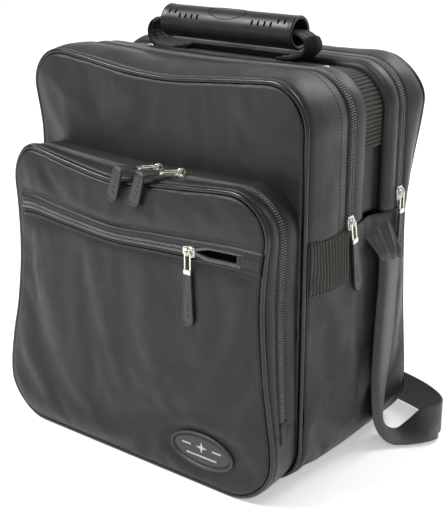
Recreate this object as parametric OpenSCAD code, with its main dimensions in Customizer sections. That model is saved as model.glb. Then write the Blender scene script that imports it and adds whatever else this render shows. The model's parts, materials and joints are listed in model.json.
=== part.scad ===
// Upright flight bag: main compartment, rear compartment, front pocket with a slip
// pocket, moulded carry handle and a shoulder strap. X runs across the front, Y from
// front to back and Z up. The origin is the centre of the base, on the floor.

/* [Bag] */
// Width of the bag across the front
bag_w = 320; // [280:1:360]
// Height of the bag body
bag_h = 360; // [320:1:420]
// Depth of the main compartment
main_d = 88; // [70:1:120]
// Depth of the recessed band between the two compartments
valley_d = 37; // [30:1:45]
// Depth of the rear compartment
rear_d = 57; // [40:1:80]
// Radius of the body's upper corners
top_r = 40; // [25:1:60]
// Radius of the body's lower corners
low_r = 39; // [25:1:60]
// Thickness of a gusset wall
skin = 2; // [1.5:0.1:3]
// Thickness of a padded panel
panel_t = 3; // [2:0.1:5]

/* [Front pocket] */
// Width of the front pocket
pocket_w = 306; // [260:1:320]
// Height of the front pocket
pocket_h = 274; // [200:1:300]
// Depth of the front pocket
pocket_d = 47; // [30:1:60]
// Height at which the pocket's front folds open
pocket_fold = 70; // [60:1:90]
// Height of the slip pocket's mouth
slip_z = 219.5; // [180:0.5:230]
// Left end of the slip pocket's mouth
slip_x0 = -124; // [-135:1:-90]
// Right end of the slip pocket's mouth
slip_x1 = 127; // [90:1:132]

/* [Openings] */
// Height at which the main compartment's front folds open
main_fold = 283; // [280:1:300]
// Height at which the zips end on the sides
zip_end = 228; // [200:1:260]
// Height at which the rear panel folds open
rear_fold = 232; // [228:1:260]
// Width of one zip tape with its half of the coil
tape_w = 11; // [9:0.5:15]

/* [Handle] */
// Length of the moulded grip
grip_l = 152; // [120:1:200]
// Outer radius of the grip
grip_r = 15.5; // [12:0.5:20]
// Height of the grip's centre
grip_z = 383; // [380:1:395]
// Width of the handle's folded webbing
handle_web_w = 22; // [18:1:30]
// Width of the ribbed webbing that carries the handle
carry_web_w = 36; // [25:1:37]

/* [Shoulder strap] */
// Width of the strap where it lies open
strap_w = 32; // [25:1:40]
// Width of the strap where it hangs folded
strap_fold_w = 26; // [20:1:36]
// Thickness of the strap
strap_t = 3; // [2:0.5:5]

/* [Hidden] */
$fn = 48;
half_w = bag_w / 2;
total_d = pocket_d + main_d + valley_d + rear_d;
pocket_y = -total_d / 2;
front_y = pocket_y + pocket_d;
valley_y = front_y + main_d;
ridge_y = valley_y + valley_d;
back_y = total_d / 2;
seam_gap = 0.5;
piping_r = 2.2;
seam = 2 * piping_r + 0.1;
coil_w = 2.2;
coil_gap = 0.25;
coil_rise = 1.2;
tape_t = 1.2;
tape_drop = 0.8;
main_zip_y = front_y + 65;
rear_zip_y = ridge_y + 22;
pocket_zip_y = pocket_y + 22;
valley_drop = 8;
valley_t = 2;
carry_web_t = 2.5;
band_z = 180;
band_h = 50;
band_t = 1.2;
board_z = 4;
board_t = 2.5;
slip_gap = 7;
slip_depth = 8;
slip_low = 110;
slip_open_x = 80;
badge_x = 88;
badge_z = 36;
badge_rx = 35.5;
badge_rz = 17;
badge_t = 2.4;
rim_w = 2.6;
plate_t = 2.6;
bow_t = 1.8;
bow_z = 1;
pivot_out = 3.8;
link_l = 19;
tab_l = 47;
tab_w = 12;
tab_t = 2.6;
main_slider_z = 233;
rear_slider_z = 242;
main_pull_lean = 10.7;
slip_slider_x = 76;
pocket_slider_x = [24, 48];
pocket_pull_turn = -41;
pocket_bow_turn = -(90 + pocket_pull_turn);
tab_over = 15;
tab_tilt = 18;
handle_x = 1;
handle_y = (valley_y + ridge_y) / 2;
handle_axis_z = 359.3;
side_out = half_w + coil_rise + 0.3;
pocket_top_out = pocket_h + coil_rise + 0.3;
// Route of the shoulder strap on the right: point, then the direction of its width.
strap_side = [
    [[166, 60, 198], [0, 1, 0]],
    [[169.5, 60, 190], [0, 1, 0]],
    [[171, 60, 178], [0, 1, 0]],
    [[171, 59, 150], [0, 1, 0]],
    [[170, 58, 110], [0, 1, 0]],
    [[169, 57, 70], [-0.1, 1, 0]],
    [[169, 57, 40], [-0.3, 1, 0]],
    [[169, 59, 20], [-0.5, 0.9, 0]],
    [[173, 63, 7], [-0.6, 0.8, 0]],
    [[181, 71, 3], [-0.6, 0.8, 0]],
    [[190, 80, 7], [-0.6, 0.7, 0.3]],
    [[200, 90, 14], [-0.4, 0.4, 0.7]],
    [[205, 101, 17], [0, 0, 1]],
    [[203, 112, 17], [0, 0, 1]],
    [[194, 122, 17], [0, 0, 1]],
    [[178, 132, 17], [0, 0, 1]],
    [[158, 140, 17], [0, 0, 1]],
    [[130, 147, 17], [0, 0, 1]],
    [[90, 152, 17], [0, 0, 1]],
    [[40, 155, 17], [0, 0, 1]],
];

// ---- Outlines in the plane of the front, and solids drawn out of them along Y ----

// A rectangle with round corners, standing on the floor line, moved in by inset.
module outline(half, height, r_top, r_low, inset) {
    rt = r_top - inset;
    rl = r_low - inset;
    for (side = [-1, 1]) {
        translate([side * (half - r_top), height - r_top]) circle(r = rt, $fn = 72);
        translate([side * (half - r_low), r_low]) circle(r = rl, $fn = 72);
    }
    translate([-(half - r_top), r_low]) square([2 * (half - r_top), height - inset - r_low]);
    translate([-(half - r_low), inset]) square([2 * (half - r_low), height / 2]);
    translate([-(half - inset), r_low]) square([2 * (half - inset), height - r_top - r_low]);
}

module body_outline(inset) {
    outline(half_w, bag_h, top_r, low_r, inset);
}

module pocket_outline(inset) {
    outline(pocket_w / 2, pocket_h, top_r, low_r, inset);
}

// Draws a flat outline out between two depths.
module between(y_from, y_to) {
    translate([0, y_to, 0]) rotate([90, 0, 0]) linear_extrude(height = y_to - y_from) children();
}

// Keeps the part of a flat outline between two heights.
module heights(z_from, z_to) {
    intersection() {
        children();
        translate([-bag_w, z_from]) square([2 * bag_w, z_to - z_from]);
    }
}

// A wall that follows the body's outline, from inset a (outside) to inset b (inside).
module body_wall(a, b, y_from, y_to, z_from, z_to) {
    between(y_from, y_to) heights(z_from, z_to) difference() {
        body_outline(a);
        body_outline(b);
    }
}

module pocket_wall(a, b, y_from, y_to, z_from, z_to) {
    between(y_from, y_to) heights(z_from, z_to) difference() {
        pocket_outline(a);
        pocket_outline(b);
    }
}

module body_panel(inset, y_from, y_to, z_from, z_to) {
    between(y_from, y_to) heights(z_from, z_to) body_outline(inset);
}

module pocket_panel(inset, y_from, y_to, z_from, z_to) {
    between(y_from, y_to) heights(z_from, z_to) pocket_outline(inset);
}

// Half of a zip along the body's outline: a thin tape, and its half of the coil.
module body_zip(y, side, z_from, z_to) {
    edge = y + side * coil_gap;
    far = y + side * tape_w;
    rib = y + side * (coil_gap + coil_w);
    body_wall(tape_drop, tape_drop + tape_t, min(rib, far), max(rib, far), z_from, z_to);
    body_wall(-coil_rise, tape_drop + tape_t, min(edge, rib), max(edge, rib), z_from, z_to);
}

module pocket_zip(y, side, z_from, z_to) {
    edge = y + side * coil_gap;
    far = y + side * tape_w;
    rib = y + side * (coil_gap + coil_w);
    pocket_wall(tape_drop, tape_drop + tape_t, min(rib, far), max(rib, far), z_from, z_to);
    pocket_wall(-coil_rise, tape_drop + tape_t, min(edge, rib), max(edge, rib), z_from, z_to);
}

// A round cord along an outline: straight runs and four quarter turns.
module cord_loop(half, height, r_top, r_low, y) {
    rt = r_top - piping_r;
    rl = r_low - piping_r;
    x = half - piping_r;
    for (side = [-1, 1]) {
        translate([side * x, y, r_low]) cylinder(r = piping_r, h = height - r_top - r_low);
        translate([side * (half - r_top), y, height - r_top]) rotate([90, 0, 0])
            rotate([0, 0, side > 0 ? 0 : 90])
            rotate_extrude(angle = 90) translate([rt, 0]) circle(r = piping_r);
        translate([side * (half - r_low), y, r_low]) rotate([90, 0, 0])
            rotate([0, 0, side > 0 ? 270 : 180])
            rotate_extrude(angle = 90) translate([rl, 0]) circle(r = piping_r);
    }
    translate([-(half - r_top), y, height - piping_r]) rotate([0, 90, 0])
        cylinder(r = piping_r, h = 2 * (half - r_top));
    translate([-(half - r_low), y, piping_r]) rotate([0, 90, 0])
        cylinder(r = piping_r, h = 2 * (half - r_low));
}

module slice(z_from, z_to) {
    intersection() {
        children();
        translate([-bag_w, -bag_w, z_from]) cube([2 * bag_w, 2 * bag_w, z_to - z_from]);
    }
}

module body_piping(y, z_from, z_to) {
    slice(z_from, z_to) cord_loop(half_w, bag_h, top_r, low_r, y);
}

module pocket_piping(z_from, z_to) {
    slice(z_from, z_to)
        cord_loop(pocket_w / 2, pocket_h, top_r, low_r, pocket_y + piping_r);
}

// ---- Base and main compartment ----

module front_panel() {
    color("#2a2c2e") body_panel(seam, front_y, front_y + panel_t, 0, main_fold);
}

module bottom_gusset() {
    color("#26282a") body_wall(0, skin, front_y + seam, back_y - seam, 0, low_r);
}

module side_gussets() {
    color("#26282a") {
        body_wall(0, skin, front_y + seam, valley_y, low_r, zip_end);
        body_wall(0, skin, front_y + seam, main_zip_y - tape_w, zip_end, main_fold);
    }
}

module main_gusset_rear() {
    color("#26282a") body_wall(0, skin, main_zip_y + tape_w, valley_y, zip_end, bag_h);
}

module main_zip_rear() {
    color("#17181a") body_zip(main_zip_y, 1, zip_end, bag_h + coil_rise);
}

module main_zip_front_sides() {
    color("#17181a") body_zip(main_zip_y, -1, zip_end, main_fold);
}

module main_piping_lower() {
    color("#0e0f10") body_piping(front_y + piping_r, 0, main_fold);
}

module main_divider() {
    color("#1d1e20")
        body_panel(valley_drop, valley_y, valley_y + panel_t, skin + valley_drop, bag_h);
}

module base_board() {
    color("#3a3a38")
        translate([-(half_w - low_r - 4), front_y + seam, board_z])
        cube([2 * (half_w - low_r - 4), main_d - seam, board_t]);
}

module side_bands() {
    color("#34342e") body_wall(-band_t, 0, front_y + seam + 1, main_zip_y - 2.7,
        band_z, band_z + band_h);
}

// ---- Front that folds open over the pocket ----

module front_panel_upper() {
    color("#2a2c2e")
        body_panel(seam, front_y, front_y + panel_t, main_fold + seam_gap, bag_h);
}

module main_gusset_front() {
    color("#26282a") body_wall(0, skin, front_y + seam, main_zip_y - tape_w,
        main_fold + seam_gap, bag_h);
}

module main_zip_front() {
    color("#17181a") body_zip(main_zip_y, -1, main_fold + seam_gap, bag_h + coil_rise);
}

module main_piping_upper() {
    color("#0e0f10") body_piping(front_y + piping_r, main_fold + seam_gap, bag_h);
}

// ---- Recessed band between the compartments ----

module valley_band() {
    color("#1d1e20") body_wall(valley_drop, valley_drop + valley_t,
        valley_y + panel_t, ridge_y - panel_t, low_r, bag_h);
}

module handle_webbing() {
    y_mid = handle_y;
    color("#34342e") body_wall(valley_drop - carry_web_t, valley_drop,
        y_mid - carry_web_w / 2, y_mid + carry_web_w / 2, zip_end + 20, bag_h);
}

module rear_divider() {
    color("#1d1e20")
        body_panel(valley_drop, ridge_y - panel_t, ridge_y, skin + valley_drop, bag_h);
}

// ---- Rear compartment ----

module rear_side_gussets() {
    color("#26282a") body_wall(0, skin, ridge_y, back_y - seam, low_r, rear_fold);
}

module rear_gusset_front() {
    color("#26282a") body_wall(0, skin, ridge_y, rear_zip_y - tape_w, rear_fold, bag_h);
}

module rear_zip_front() {
    color("#17181a") body_zip(rear_zip_y, -1, rear_fold, bag_h + coil_rise);
}

module rear_panel_lower() {
    color("#2a2c2e") body_panel(seam, back_y - panel_t, back_y, 0, rear_fold);
}

module rear_piping_lower() {
    color("#0e0f10") body_piping(back_y - piping_r, 0, rear_fold);
}

module rear_panel_upper() {
    color("#2a2c2e")
        body_panel(seam, back_y - panel_t, back_y, rear_fold + seam_gap, bag_h);
}

module rear_gusset_back() {
    color("#26282a") body_wall(0, skin, rear_zip_y + tape_w, back_y - seam,
        rear_fold + seam_gap, bag_h);
}

module rear_zip_back() {
    color("#17181a") body_zip(rear_zip_y, 1, rear_fold + seam_gap, bag_h + coil_rise);
}

module rear_piping_upper() {
    color("#0e0f10") body_piping(back_y - piping_r, rear_fold + seam_gap, bag_h);
}

// ---- Front pocket ----

module pocket_gusset_rear() {
    color("#26282a") pocket_wall(0, skin, pocket_zip_y + tape_w, front_y,
        pocket_fold, pocket_h);
}

module pocket_zip_rear() {
    color("#17181a") pocket_zip(pocket_zip_y, 1, pocket_fold, pocket_h + coil_rise);
}

module pocket_bottom_gusset() {
    color("#26282a") pocket_wall(0, skin, pocket_y + seam, front_y, 0, pocket_fold);
}

module pocket_panel_lower() {
    color("#2a2c2e") pocket_panel(seam, pocket_y, pocket_y + panel_t, 0, pocket_fold);
}

module pocket_piping_lower() {
    color("#0e0f10") pocket_piping(0, pocket_fold);
}

// Oval seen from the front, as wide and tall as its two radii.
function oval(rx, rz) = [for (a = [0:6:354]) [rx * cos(a), rz * sin(a)]];

module badge_plate() {
    color("#4a4c4e") translate([badge_x, 0, badge_z]) difference() {
        between(pocket_y - badge_t, pocket_y) polygon(oval(badge_rx, badge_rz));
        between(pocket_y - badge_t - 1, pocket_y - badge_t + 0.8)
            polygon(oval(badge_rx - rim_w, badge_rz - rim_w));
    }
}

module pocket_panel_upper() {
    color("#2a2c2e") difference() {
        pocket_panel(seam, pocket_y, pocket_y + panel_t, pocket_fold + seam_gap, pocket_h);
        translate([slip_x0, pocket_y - 1, slip_z - slip_gap / 2])
            cube([slip_x1 - slip_x0, panel_t + 2, slip_gap]);
    }
}

module pocket_gusset_front() {
    color("#26282a") pocket_wall(0, skin, pocket_y + seam, pocket_zip_y - tape_w,
        pocket_fold + seam_gap, pocket_h);
}

module pocket_zip_front() {
    color("#17181a") pocket_zip(pocket_zip_y, -1, pocket_fold + seam_gap,
        pocket_h + coil_rise);
}

module pocket_piping_upper() {
    color("#0e0f10") pocket_piping(pocket_fold + seam_gap, pocket_h);
}

// ---- Slip pocket on the front pocket's face ----

// A shallow cloth tray behind the panel, open at its mouth.
module slip_lining() {
    y_in = pocket_y + panel_t;
    z_top = slip_z + slip_gap / 2 + 3;
    color("#1d1e20") difference() {
        translate([slip_x0 - 2, y_in, slip_low])
            cube([slip_x1 - slip_x0 + 4, slip_depth + 1, z_top - slip_low]);
        translate([slip_x0, y_in - 1, slip_low + 2])
            cube([slip_x1 - slip_x0, slip_depth + 1, z_top - slip_low - 4]);
    }
}

// Two narrow tapes, closed left of the slider and parted right of it.
module slip_zip_tapes() {
    closed_l = slip_open_x - slip_x0;
    open_l = slip_x1 - slip_open_x;
    color("#17181a") for (side = [-1, 1]) {
        translate([slip_x0, pocket_y + 0.6, side > 0 ? slip_z + 0.9 : slip_z - 3.5])
            cube([closed_l, 1, 2.6]);
        translate([slip_open_x, pocket_y + 0.6, side > 0 ? slip_z + 2.9 : slip_z - 3.5])
            cube([open_l, 1, 0.6]);
    }
}

module slip_zip_coil() {
    color("#101112") translate([slip_x0, pocket_y - 0.6, slip_z - 0.9])
        cube([slip_open_x - slip_x0, 2.6, 1.8]);
}

module slip_zip_tab() {
    color("#2a2c2e") translate([slip_x1, pocket_y - 1, slip_z - 6]) cube([21, 1, 13]);
}

// ---- Rivets, strap anchors and handle ----

module handle_rivets() {
    color("#c9c4b4") for (side = [-1, 1]) {
        translate([handle_x + side * 104, handle_y, bag_h - valley_drop + carry_web_t])
            cylinder(r = 2.6, h = 1.4);
    }
}

// Slanted leather-look strap end, sewn on the side behind the recessed band.
module strap_anchors() {
    face = [[34, 214], [60, 226], [86, 222], [84, 200], [72, 189], [48, 189], [42, 204]];
    color("#2b2c2d") for (side = [-1, 1]) {
        translate([side > 0 ? half_w : -half_w - 3, 0, 0])
            rotate([90, 0, 90]) linear_extrude(height = 3) polygon(face);
    }
}

module handle_grip() {
    bore = grip_r - 3.5;
    color("#2e2f30") difference() {
        translate([handle_x - grip_l / 2, handle_y, grip_z]) rotate([0, 90, 0]) difference() {
            cylinder(r = grip_r, h = grip_l, $fn = 72);
            translate([0, 0, -1]) cylinder(r = bore, h = grip_l + 2, $fn = 72);
        }
        // Six slots a side: four in a row, the outer two nearer the top.
        for (side = [-1, 1]) {
            for (step = [0:5]) {
                translate([handle_x + side * (32 + 7 * step), handle_y, grip_z])
                    rotate([step < 4 ? 62 : 48, 0, 0]) translate([0, 0, grip_r - 1])
                        cube([2, 4.5, 3], center = true);
            }
        }
    }
}

// Folded webbing: through the grip, then down to the recessed band at each end.
module handle_strap() {
    half_run = [[0, 386], [81, 386], [89, 381], [94, 372], [93, 367], [86, 367],
        [87, 371], [84, 376], [79, 380], [0, 380]];
    color("#34342e") for (side = [-1, 1]) {
        translate([handle_x, 0, 0]) mirror([side < 0 ? 1 : 0, 0, 0]) {
            translate([0, handle_y + handle_web_w / 2, 0]) rotate([90, 0, 0])
                linear_extrude(height = handle_web_w) polygon(half_run);
            translate([86, handle_y - 3, handle_axis_z]) cube([7, 6, 367 - handle_axis_z]);
            translate([86, handle_y, handle_axis_z]) rotate([0, 90, 0])
                cylinder(r = 3.4, h = 7);
        }
    }
}

// ---- Zip sliders. Drawn facing -Y and running along Z, then turned to their zip ----

module slider_shape(bow_turn) {
    shield = [[-4, 6.5], [4, 6.5], [5, 3], [4.2, -4], [3, -6.5], [-3, -6.5], [-4.2, -4],
        [-5, 3]];
    color("#cfcabb") {
        rotate([90, 0, 0]) linear_extrude(height = plate_t) polygon(shield);
        translate([0, -plate_t, bow_z]) rotate([0, bow_turn, 0]) rotate([0, 90, 0])
            translate([0, 0, -bow_t / 2]) difference() {
                cylinder(r = 4, h = bow_t);
                translate([0, 0, -1]) cylinder(r = 2.4, h = bow_t + 2);
                translate([-5, 0, -1]) cube([10, 5, bow_t + 2]);
            }
    }
}

// Wire link that hangs from a slider's bow. Its pivot is the origin.
module link_shape() {
    color("#cfcabb") {
        translate([-3.6, 0, 0]) rotate([0, 90, 0]) cylinder(r = 0.8, h = 7.2);
        for (side = [-1, 1]) {
            translate([side * 2.9 - 0.7, -0.8, -link_l]) cube([1.4, 1.6, link_l]);
        }
        translate([-3.6, -0.8, -link_l]) cube([7.2, 1.6, 3]);
        tongue();
    }
}

module tongue() {
    translate([-2.5, -0.5, -link_l - 6]) cube([5, 1, 6]);
}

// Rubber tab below the link, with a round end and the link's tongue inside it.
module tab_shape() {
    r = tab_w / 2;
    z_low = -link_l - tab_l + r;
    color("#202122") difference() {
        translate([0, tab_t / 2, 0]) rotate([90, 0, 0]) linear_extrude(height = tab_t) {
            translate([-r, z_low]) square([tab_w, -link_l - z_low - 5]);
            translate([0, z_low]) circle(r = r);
            translate([-4, -link_l - 6]) square([8, 6]);
        }
        tongue();
    }
}

// Places the children on the right side's zip, at a height and depth.
module on_side(y, z) {
    translate([side_out, y, z]) rotate([0, 0, 90]) children();
}

module side_pull(y, z, lean) {
    on_side(y, z + bow_z) translate([0, -pivot_out, 0]) rotate([0, -lean, 0]) children();
}

module main_slider() {
    on_side(main_zip_y, main_slider_z) slider_shape(0);
}

module main_pull_link() {
    side_pull(main_zip_y, main_slider_z, main_pull_lean) link_shape();
}

module main_pull_tab() {
    side_pull(main_zip_y, main_slider_z, main_pull_lean) tab_shape();
}

module rear_slider() {
    on_side(rear_zip_y, rear_slider_z) slider_shape(0);
}

module rear_pull_link() {
    side_pull(rear_zip_y, rear_slider_z, 0) link_shape();
}

module rear_pull_tab() {
    side_pull(rear_zip_y, rear_slider_z, 0) tab_shape();
}

// The pocket's two sliders meet on top; each pull lies forward over the edge.
module on_pocket_top(x, way) {
    translate([x, pocket_zip_y, pocket_top_out]) rotate([-90, 0, 0]) rotate([0, way * 90, 0])
        children();
}

// The link's pivot on a slider whose bow sits towards its wide end.
module pocket_pivot(x, way) {
    translate([x + way * bow_z, pocket_zip_y, pocket_top_out + pivot_out])
        rotate([0, 0, pocket_pull_turn]) children();
}

module pocket_link(x, way) {
    pocket_pivot(x, way) rotate([-90, 0, 0]) link_shape();
}

// Rubber tab that runs on over the pocket's edge and drops down in front of it.
module pocket_tab(x, way) {
    r = tab_w / 2;
    bend = link_l + tab_over;
    drop = tab_l - tab_over;
    color("#202122") difference() {
        pocket_pivot(x, way) union() {
            translate([-r, -bend, -tab_t / 2]) cube([tab_w, tab_over, tab_t]);
            translate([0, -bend, 0]) rotate([0, 0, -pocket_pull_turn]) rotate([0, tab_tilt, 0])
                translate([0, tab_t / 2, 0]) rotate([90, 0, 0]) linear_extrude(height = tab_t) {
                    translate([-r, r - drop]) square([tab_w, drop - r]);
                    translate([0, r - drop]) circle(r = r);
                }
        }
        pocket_pivot(x, way) rotate([-90, 0, 0]) tongue();
    }
}

module pocket_slider_left() {
    on_pocket_top(pocket_slider_x[0], -1) slider_shape(pocket_bow_turn);
}

module pocket_slider_right() {
    on_pocket_top(pocket_slider_x[1], 1) slider_shape(pocket_bow_turn);
}

module pocket_left_pull_link() {
    pocket_link(pocket_slider_x[0], -1);
}

module pocket_left_pull_tab() {
    pocket_tab(pocket_slider_x[0], -1);
}

module pocket_right_pull_link() {
    pocket_link(pocket_slider_x[1], 1);
}

module pocket_right_pull_tab() {
    pocket_tab(pocket_slider_x[1], 1);
}

module slip_slider() {
    translate([slip_slider_x, pocket_y - 0.9, slip_z]) rotate([0, 90, 0]) slider_shape(90);
}

module slip_pull() {
    translate([slip_slider_x + bow_z, pocket_y - 0.9 - pivot_out, slip_z]) children();
}

module slip_pull_link() {
    slip_pull() link_shape();
}

module slip_pull_tab() {
    slip_pull() tab_shape();
}

// ---- Shoulder strap: a flat band swept along its route, the same on both sides ----

function unit(v) = v / norm(v);
function flip(p) = [-p[0], p[1], p[2]];
strap_back = [for (i = [len(strap_side) - 1:-1:0])
    [flip(strap_side[i][0]), flip(strap_side[i][1])]];
route = concat(strap_side, strap_back);
last = len(route) - 1;
folded_points = 7;
function along(i) = unit(route[min(i + 1, last)][0] - route[max(i - 1, 0)][0]);
// The width direction, made square to the route.
function across(i) = let (w = route[i][1], t = along(i)) unit(w - t * (w * t));
function hangs(i) = min(i, last - i) < folded_points;
function ring(i) =
    let (
        c = route[i][0],
        w = across(i) * (hangs(i) ? strap_fold_w : strap_w) / 2,
        n = cross(along(i), across(i)) * strap_t / 2
    )
    [c - w - n, c + w - n, c + w + n, c - w + n];

module shoulder_strap() {
    points = [for (i = [0:last]) each ring(i)];
    quads = [for (i = [0:last - 1]) for (k = [0:3])
        [4 * i + k, 4 * i + (k + 1) % 4, 4 * i + 4 + (k + 1) % 4, 4 * i + 4 + k]];
    sides = [for (q = quads) each [[q[0], q[1], q[2]], [q[0], q[2], q[3]]]];
    ends = [[3, 2, 1, 0], [4 * last, 4 * last + 1, 4 * last + 2, 4 * last + 3]];
    color("#242526") polyhedron(points = points, faces = concat(sides, ends));
}

front_panel();
bottom_gusset();
side_gussets();
main_gusset_rear();
main_zip_rear();
main_zip_front_sides();
main_piping_lower();
main_divider();
valley_band();
handle_webbing();
rear_divider();
rear_gusset_front();
rear_zip_front();
rear_side_gussets();
rear_panel_lower();
rear_piping_lower();
side_bands();
base_board();
pocket_gusset_rear();
pocket_zip_rear();
pocket_bottom_gusset();
pocket_panel_lower();
pocket_piping_lower();
badge_plate();
handle_rivets();
strap_anchors();
front_panel_upper();
main_gusset_front();
main_zip_front();
main_piping_upper();
rear_panel_upper();
rear_gusset_back();
rear_zip_back();
rear_piping_upper();
pocket_panel_upper();
pocket_gusset_front();
pocket_zip_front();
pocket_piping_upper();
slip_lining();
slip_zip_tapes();
slip_zip_coil();
slip_zip_tab();
handle_grip();
handle_strap();
main_slider();
rear_slider();
pocket_slider_left();
pocket_slider_right();
slip_slider();
main_pull_link();
main_pull_tab();
rear_pull_link();
rear_pull_tab();
pocket_left_pull_link();
pocket_left_pull_tab();
pocket_right_pull_link();
pocket_right_pull_tab();
slip_pull_link();
slip_pull_tab();
shoulder_strap();
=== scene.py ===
# Visual model of an upright flight bag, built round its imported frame. Lengths are in
# millimetres until a mesh is made, and places come from the frame's own boxes.
import bmesh
import bpy
import json
import math
from mathutils import Matrix, Vector, noise
from mathutils.bvhtree import BVHTree


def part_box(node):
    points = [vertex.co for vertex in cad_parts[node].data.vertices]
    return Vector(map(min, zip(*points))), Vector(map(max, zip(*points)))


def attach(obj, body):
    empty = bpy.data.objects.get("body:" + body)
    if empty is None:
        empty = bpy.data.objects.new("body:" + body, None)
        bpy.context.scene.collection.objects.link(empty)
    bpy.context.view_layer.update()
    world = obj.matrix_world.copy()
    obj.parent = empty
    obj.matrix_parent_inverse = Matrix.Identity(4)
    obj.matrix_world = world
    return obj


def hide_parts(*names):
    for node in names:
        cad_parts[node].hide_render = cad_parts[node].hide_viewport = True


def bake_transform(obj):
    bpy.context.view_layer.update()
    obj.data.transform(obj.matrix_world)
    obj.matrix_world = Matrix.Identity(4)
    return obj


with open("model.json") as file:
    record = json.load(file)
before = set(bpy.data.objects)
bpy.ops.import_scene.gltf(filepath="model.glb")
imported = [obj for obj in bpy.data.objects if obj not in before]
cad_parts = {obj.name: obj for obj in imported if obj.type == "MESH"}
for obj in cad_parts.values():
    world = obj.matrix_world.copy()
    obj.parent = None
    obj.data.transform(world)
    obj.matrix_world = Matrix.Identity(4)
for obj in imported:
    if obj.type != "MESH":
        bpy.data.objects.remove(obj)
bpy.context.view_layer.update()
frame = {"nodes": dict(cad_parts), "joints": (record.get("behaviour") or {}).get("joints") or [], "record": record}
MM = 0.001


# ---- Places, read from the frame ----

def span(node):
    """Lowest and highest corner of a CAD node, in millimetres."""
    low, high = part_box(node)
    return Vector(low) / MM, Vector(high) / MM


JOINTS = {j["name"]: j for j in frame["joints"]}


def pivot(joint):
    return Vector(JOINTS[joint]["pos_m"]) / MM


HALF = span("bottom_gusset")[1].x
TOP = span("main_gusset_front")[1].z
PHALF = span("pocket_bottom_gusset")[1].x
PTOP = span("pocket_gusset_front")[1].z
POCKET_Y = span("pocket_panel_lower")[0].y
FRONT_Y = span("front_panel")[0].y
VALLEY_Y = span("main_gusset_rear")[1].y
RIDGE_Y = span("rear_gusset_front")[0].y
BACK_Y = span("rear_panel_lower")[1].y
POCKET_FOLD = span("pocket_panel_lower")[1].z
ZIP_END = span("main_zip_rear")[0].z
VALLEY_DROP = HALF - span("main_divider")[1].x
MAIN_ZIP_Y = pivot("main_pull_swing").y
REAR_ZIP_Y = pivot("rear_pull_swing").y
POCKET_ZIP_Y = pivot("pocket_left_pull_swing").y
SLIP_LEFT = span("slip_zip_tapes")[0].x
SLIP_RIGHT = span("slip_zip_tapes")[1].x
SLIP_Z = pivot("slip_pull_swing").z
SLIP_START = SLIP_LEFT - 18
TOP_R = 40
LOW_R = 39
PIPING_R = 2.3
SEAM_GAP = 4.5


# ---- Camera, floor and light ----

def make_camera():
    azimuth, elevation, distance = 38.4, 19.1, 1078.6
    target = Vector((19.9, 1.9, 171.3))
    a, e = math.radians(azimuth), math.radians(elevation)
    back = Vector((math.sin(a) * math.cos(e), -math.cos(a) * math.cos(e), math.sin(e)))
    data = bpy.data.cameras.new("camera")
    camera = bpy.data.objects.new("camera", data)
    data.sensor_width = 36
    data.sensor_fit = "VERTICAL"
    data.sensor_height = 36
    data.lens = 1129.7 / 512 * 36
    camera.location = (target + back * distance) * MM
    camera.rotation_euler = (-back).to_track_quat("-Z", "Y").to_euler()
    bpy.context.collection.objects.link(camera)
    bpy.context.scene.camera = camera


def area_light(name, place, aim, size, power, colour=(1, 1, 1)):
    data = bpy.data.lights.new(name, "AREA")
    data.energy = power
    data.size = size
    data.color = colour
    lamp = bpy.data.objects.new(name, data)
    lamp.location = place
    lamp.rotation_euler = (Vector(aim) - Vector(place)).to_track_quat("-Z", "Y").to_euler()
    bpy.context.collection.objects.link(lamp)


def make_studio():
    bpy.context.scene.view_settings.view_transform = "Standard"
    world = bpy.data.worlds.new("studio")
    bpy.context.scene.world = world
    world.use_nodes = True
    ground = world.node_tree.nodes["Background"]
    ground.inputs["Color"].default_value = (1, 1, 1, 1)
    ground.inputs["Strength"].default_value = 0.34
    area_light("key", (-1.0, -1.2, 2.0), (0, 0, 0.25), 1.0, 60)
    area_light("fill", (1.7, -1.2, 1.2), (0, 0, 0.2), 1.2, 4)
    area_light("rim", (0.5, 1.7, 1.9), (0, 0, 0.3), 1.0, 26)
    mesh = bpy.data.meshes.new("floor")
    reach, rise, bend = 6.0, 5.0, 1.0
    rows = [(-reach, 0)] + [(3.0 + bend * math.sin(t * math.pi / 16),
            bend - bend * math.cos(t * math.pi / 16)) for t in range(9)] + [(4.0, rise)]
    verts = [(x, y, z) for y, z in rows for x in (-reach, reach)]
    faces = [(2 * i, 2 * i + 1, 2 * i + 3, 2 * i + 2) for i in range(len(rows) - 1)]
    mesh.from_pydata(verts, [], faces)
    floor = bpy.data.objects.new("floor", mesh)
    bpy.context.collection.objects.link(floor)
    mat = bpy.data.materials.new("floor")
    mat.use_nodes = True
    shader = mat.node_tree.nodes["Principled BSDF"]
    shader.inputs["Base Color"].default_value = (0.93, 0.93, 0.93, 1)
    shader.inputs["Roughness"].default_value = 0.9
    shader.inputs["Specular IOR Level"].default_value = 0.1
    shader.inputs["Emission Color"].default_value = (1, 1, 1, 1)
    shader.inputs["Emission Strength"].default_value = 0.4
    mesh.materials.append(mat)


# ---- Materials ----

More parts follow.
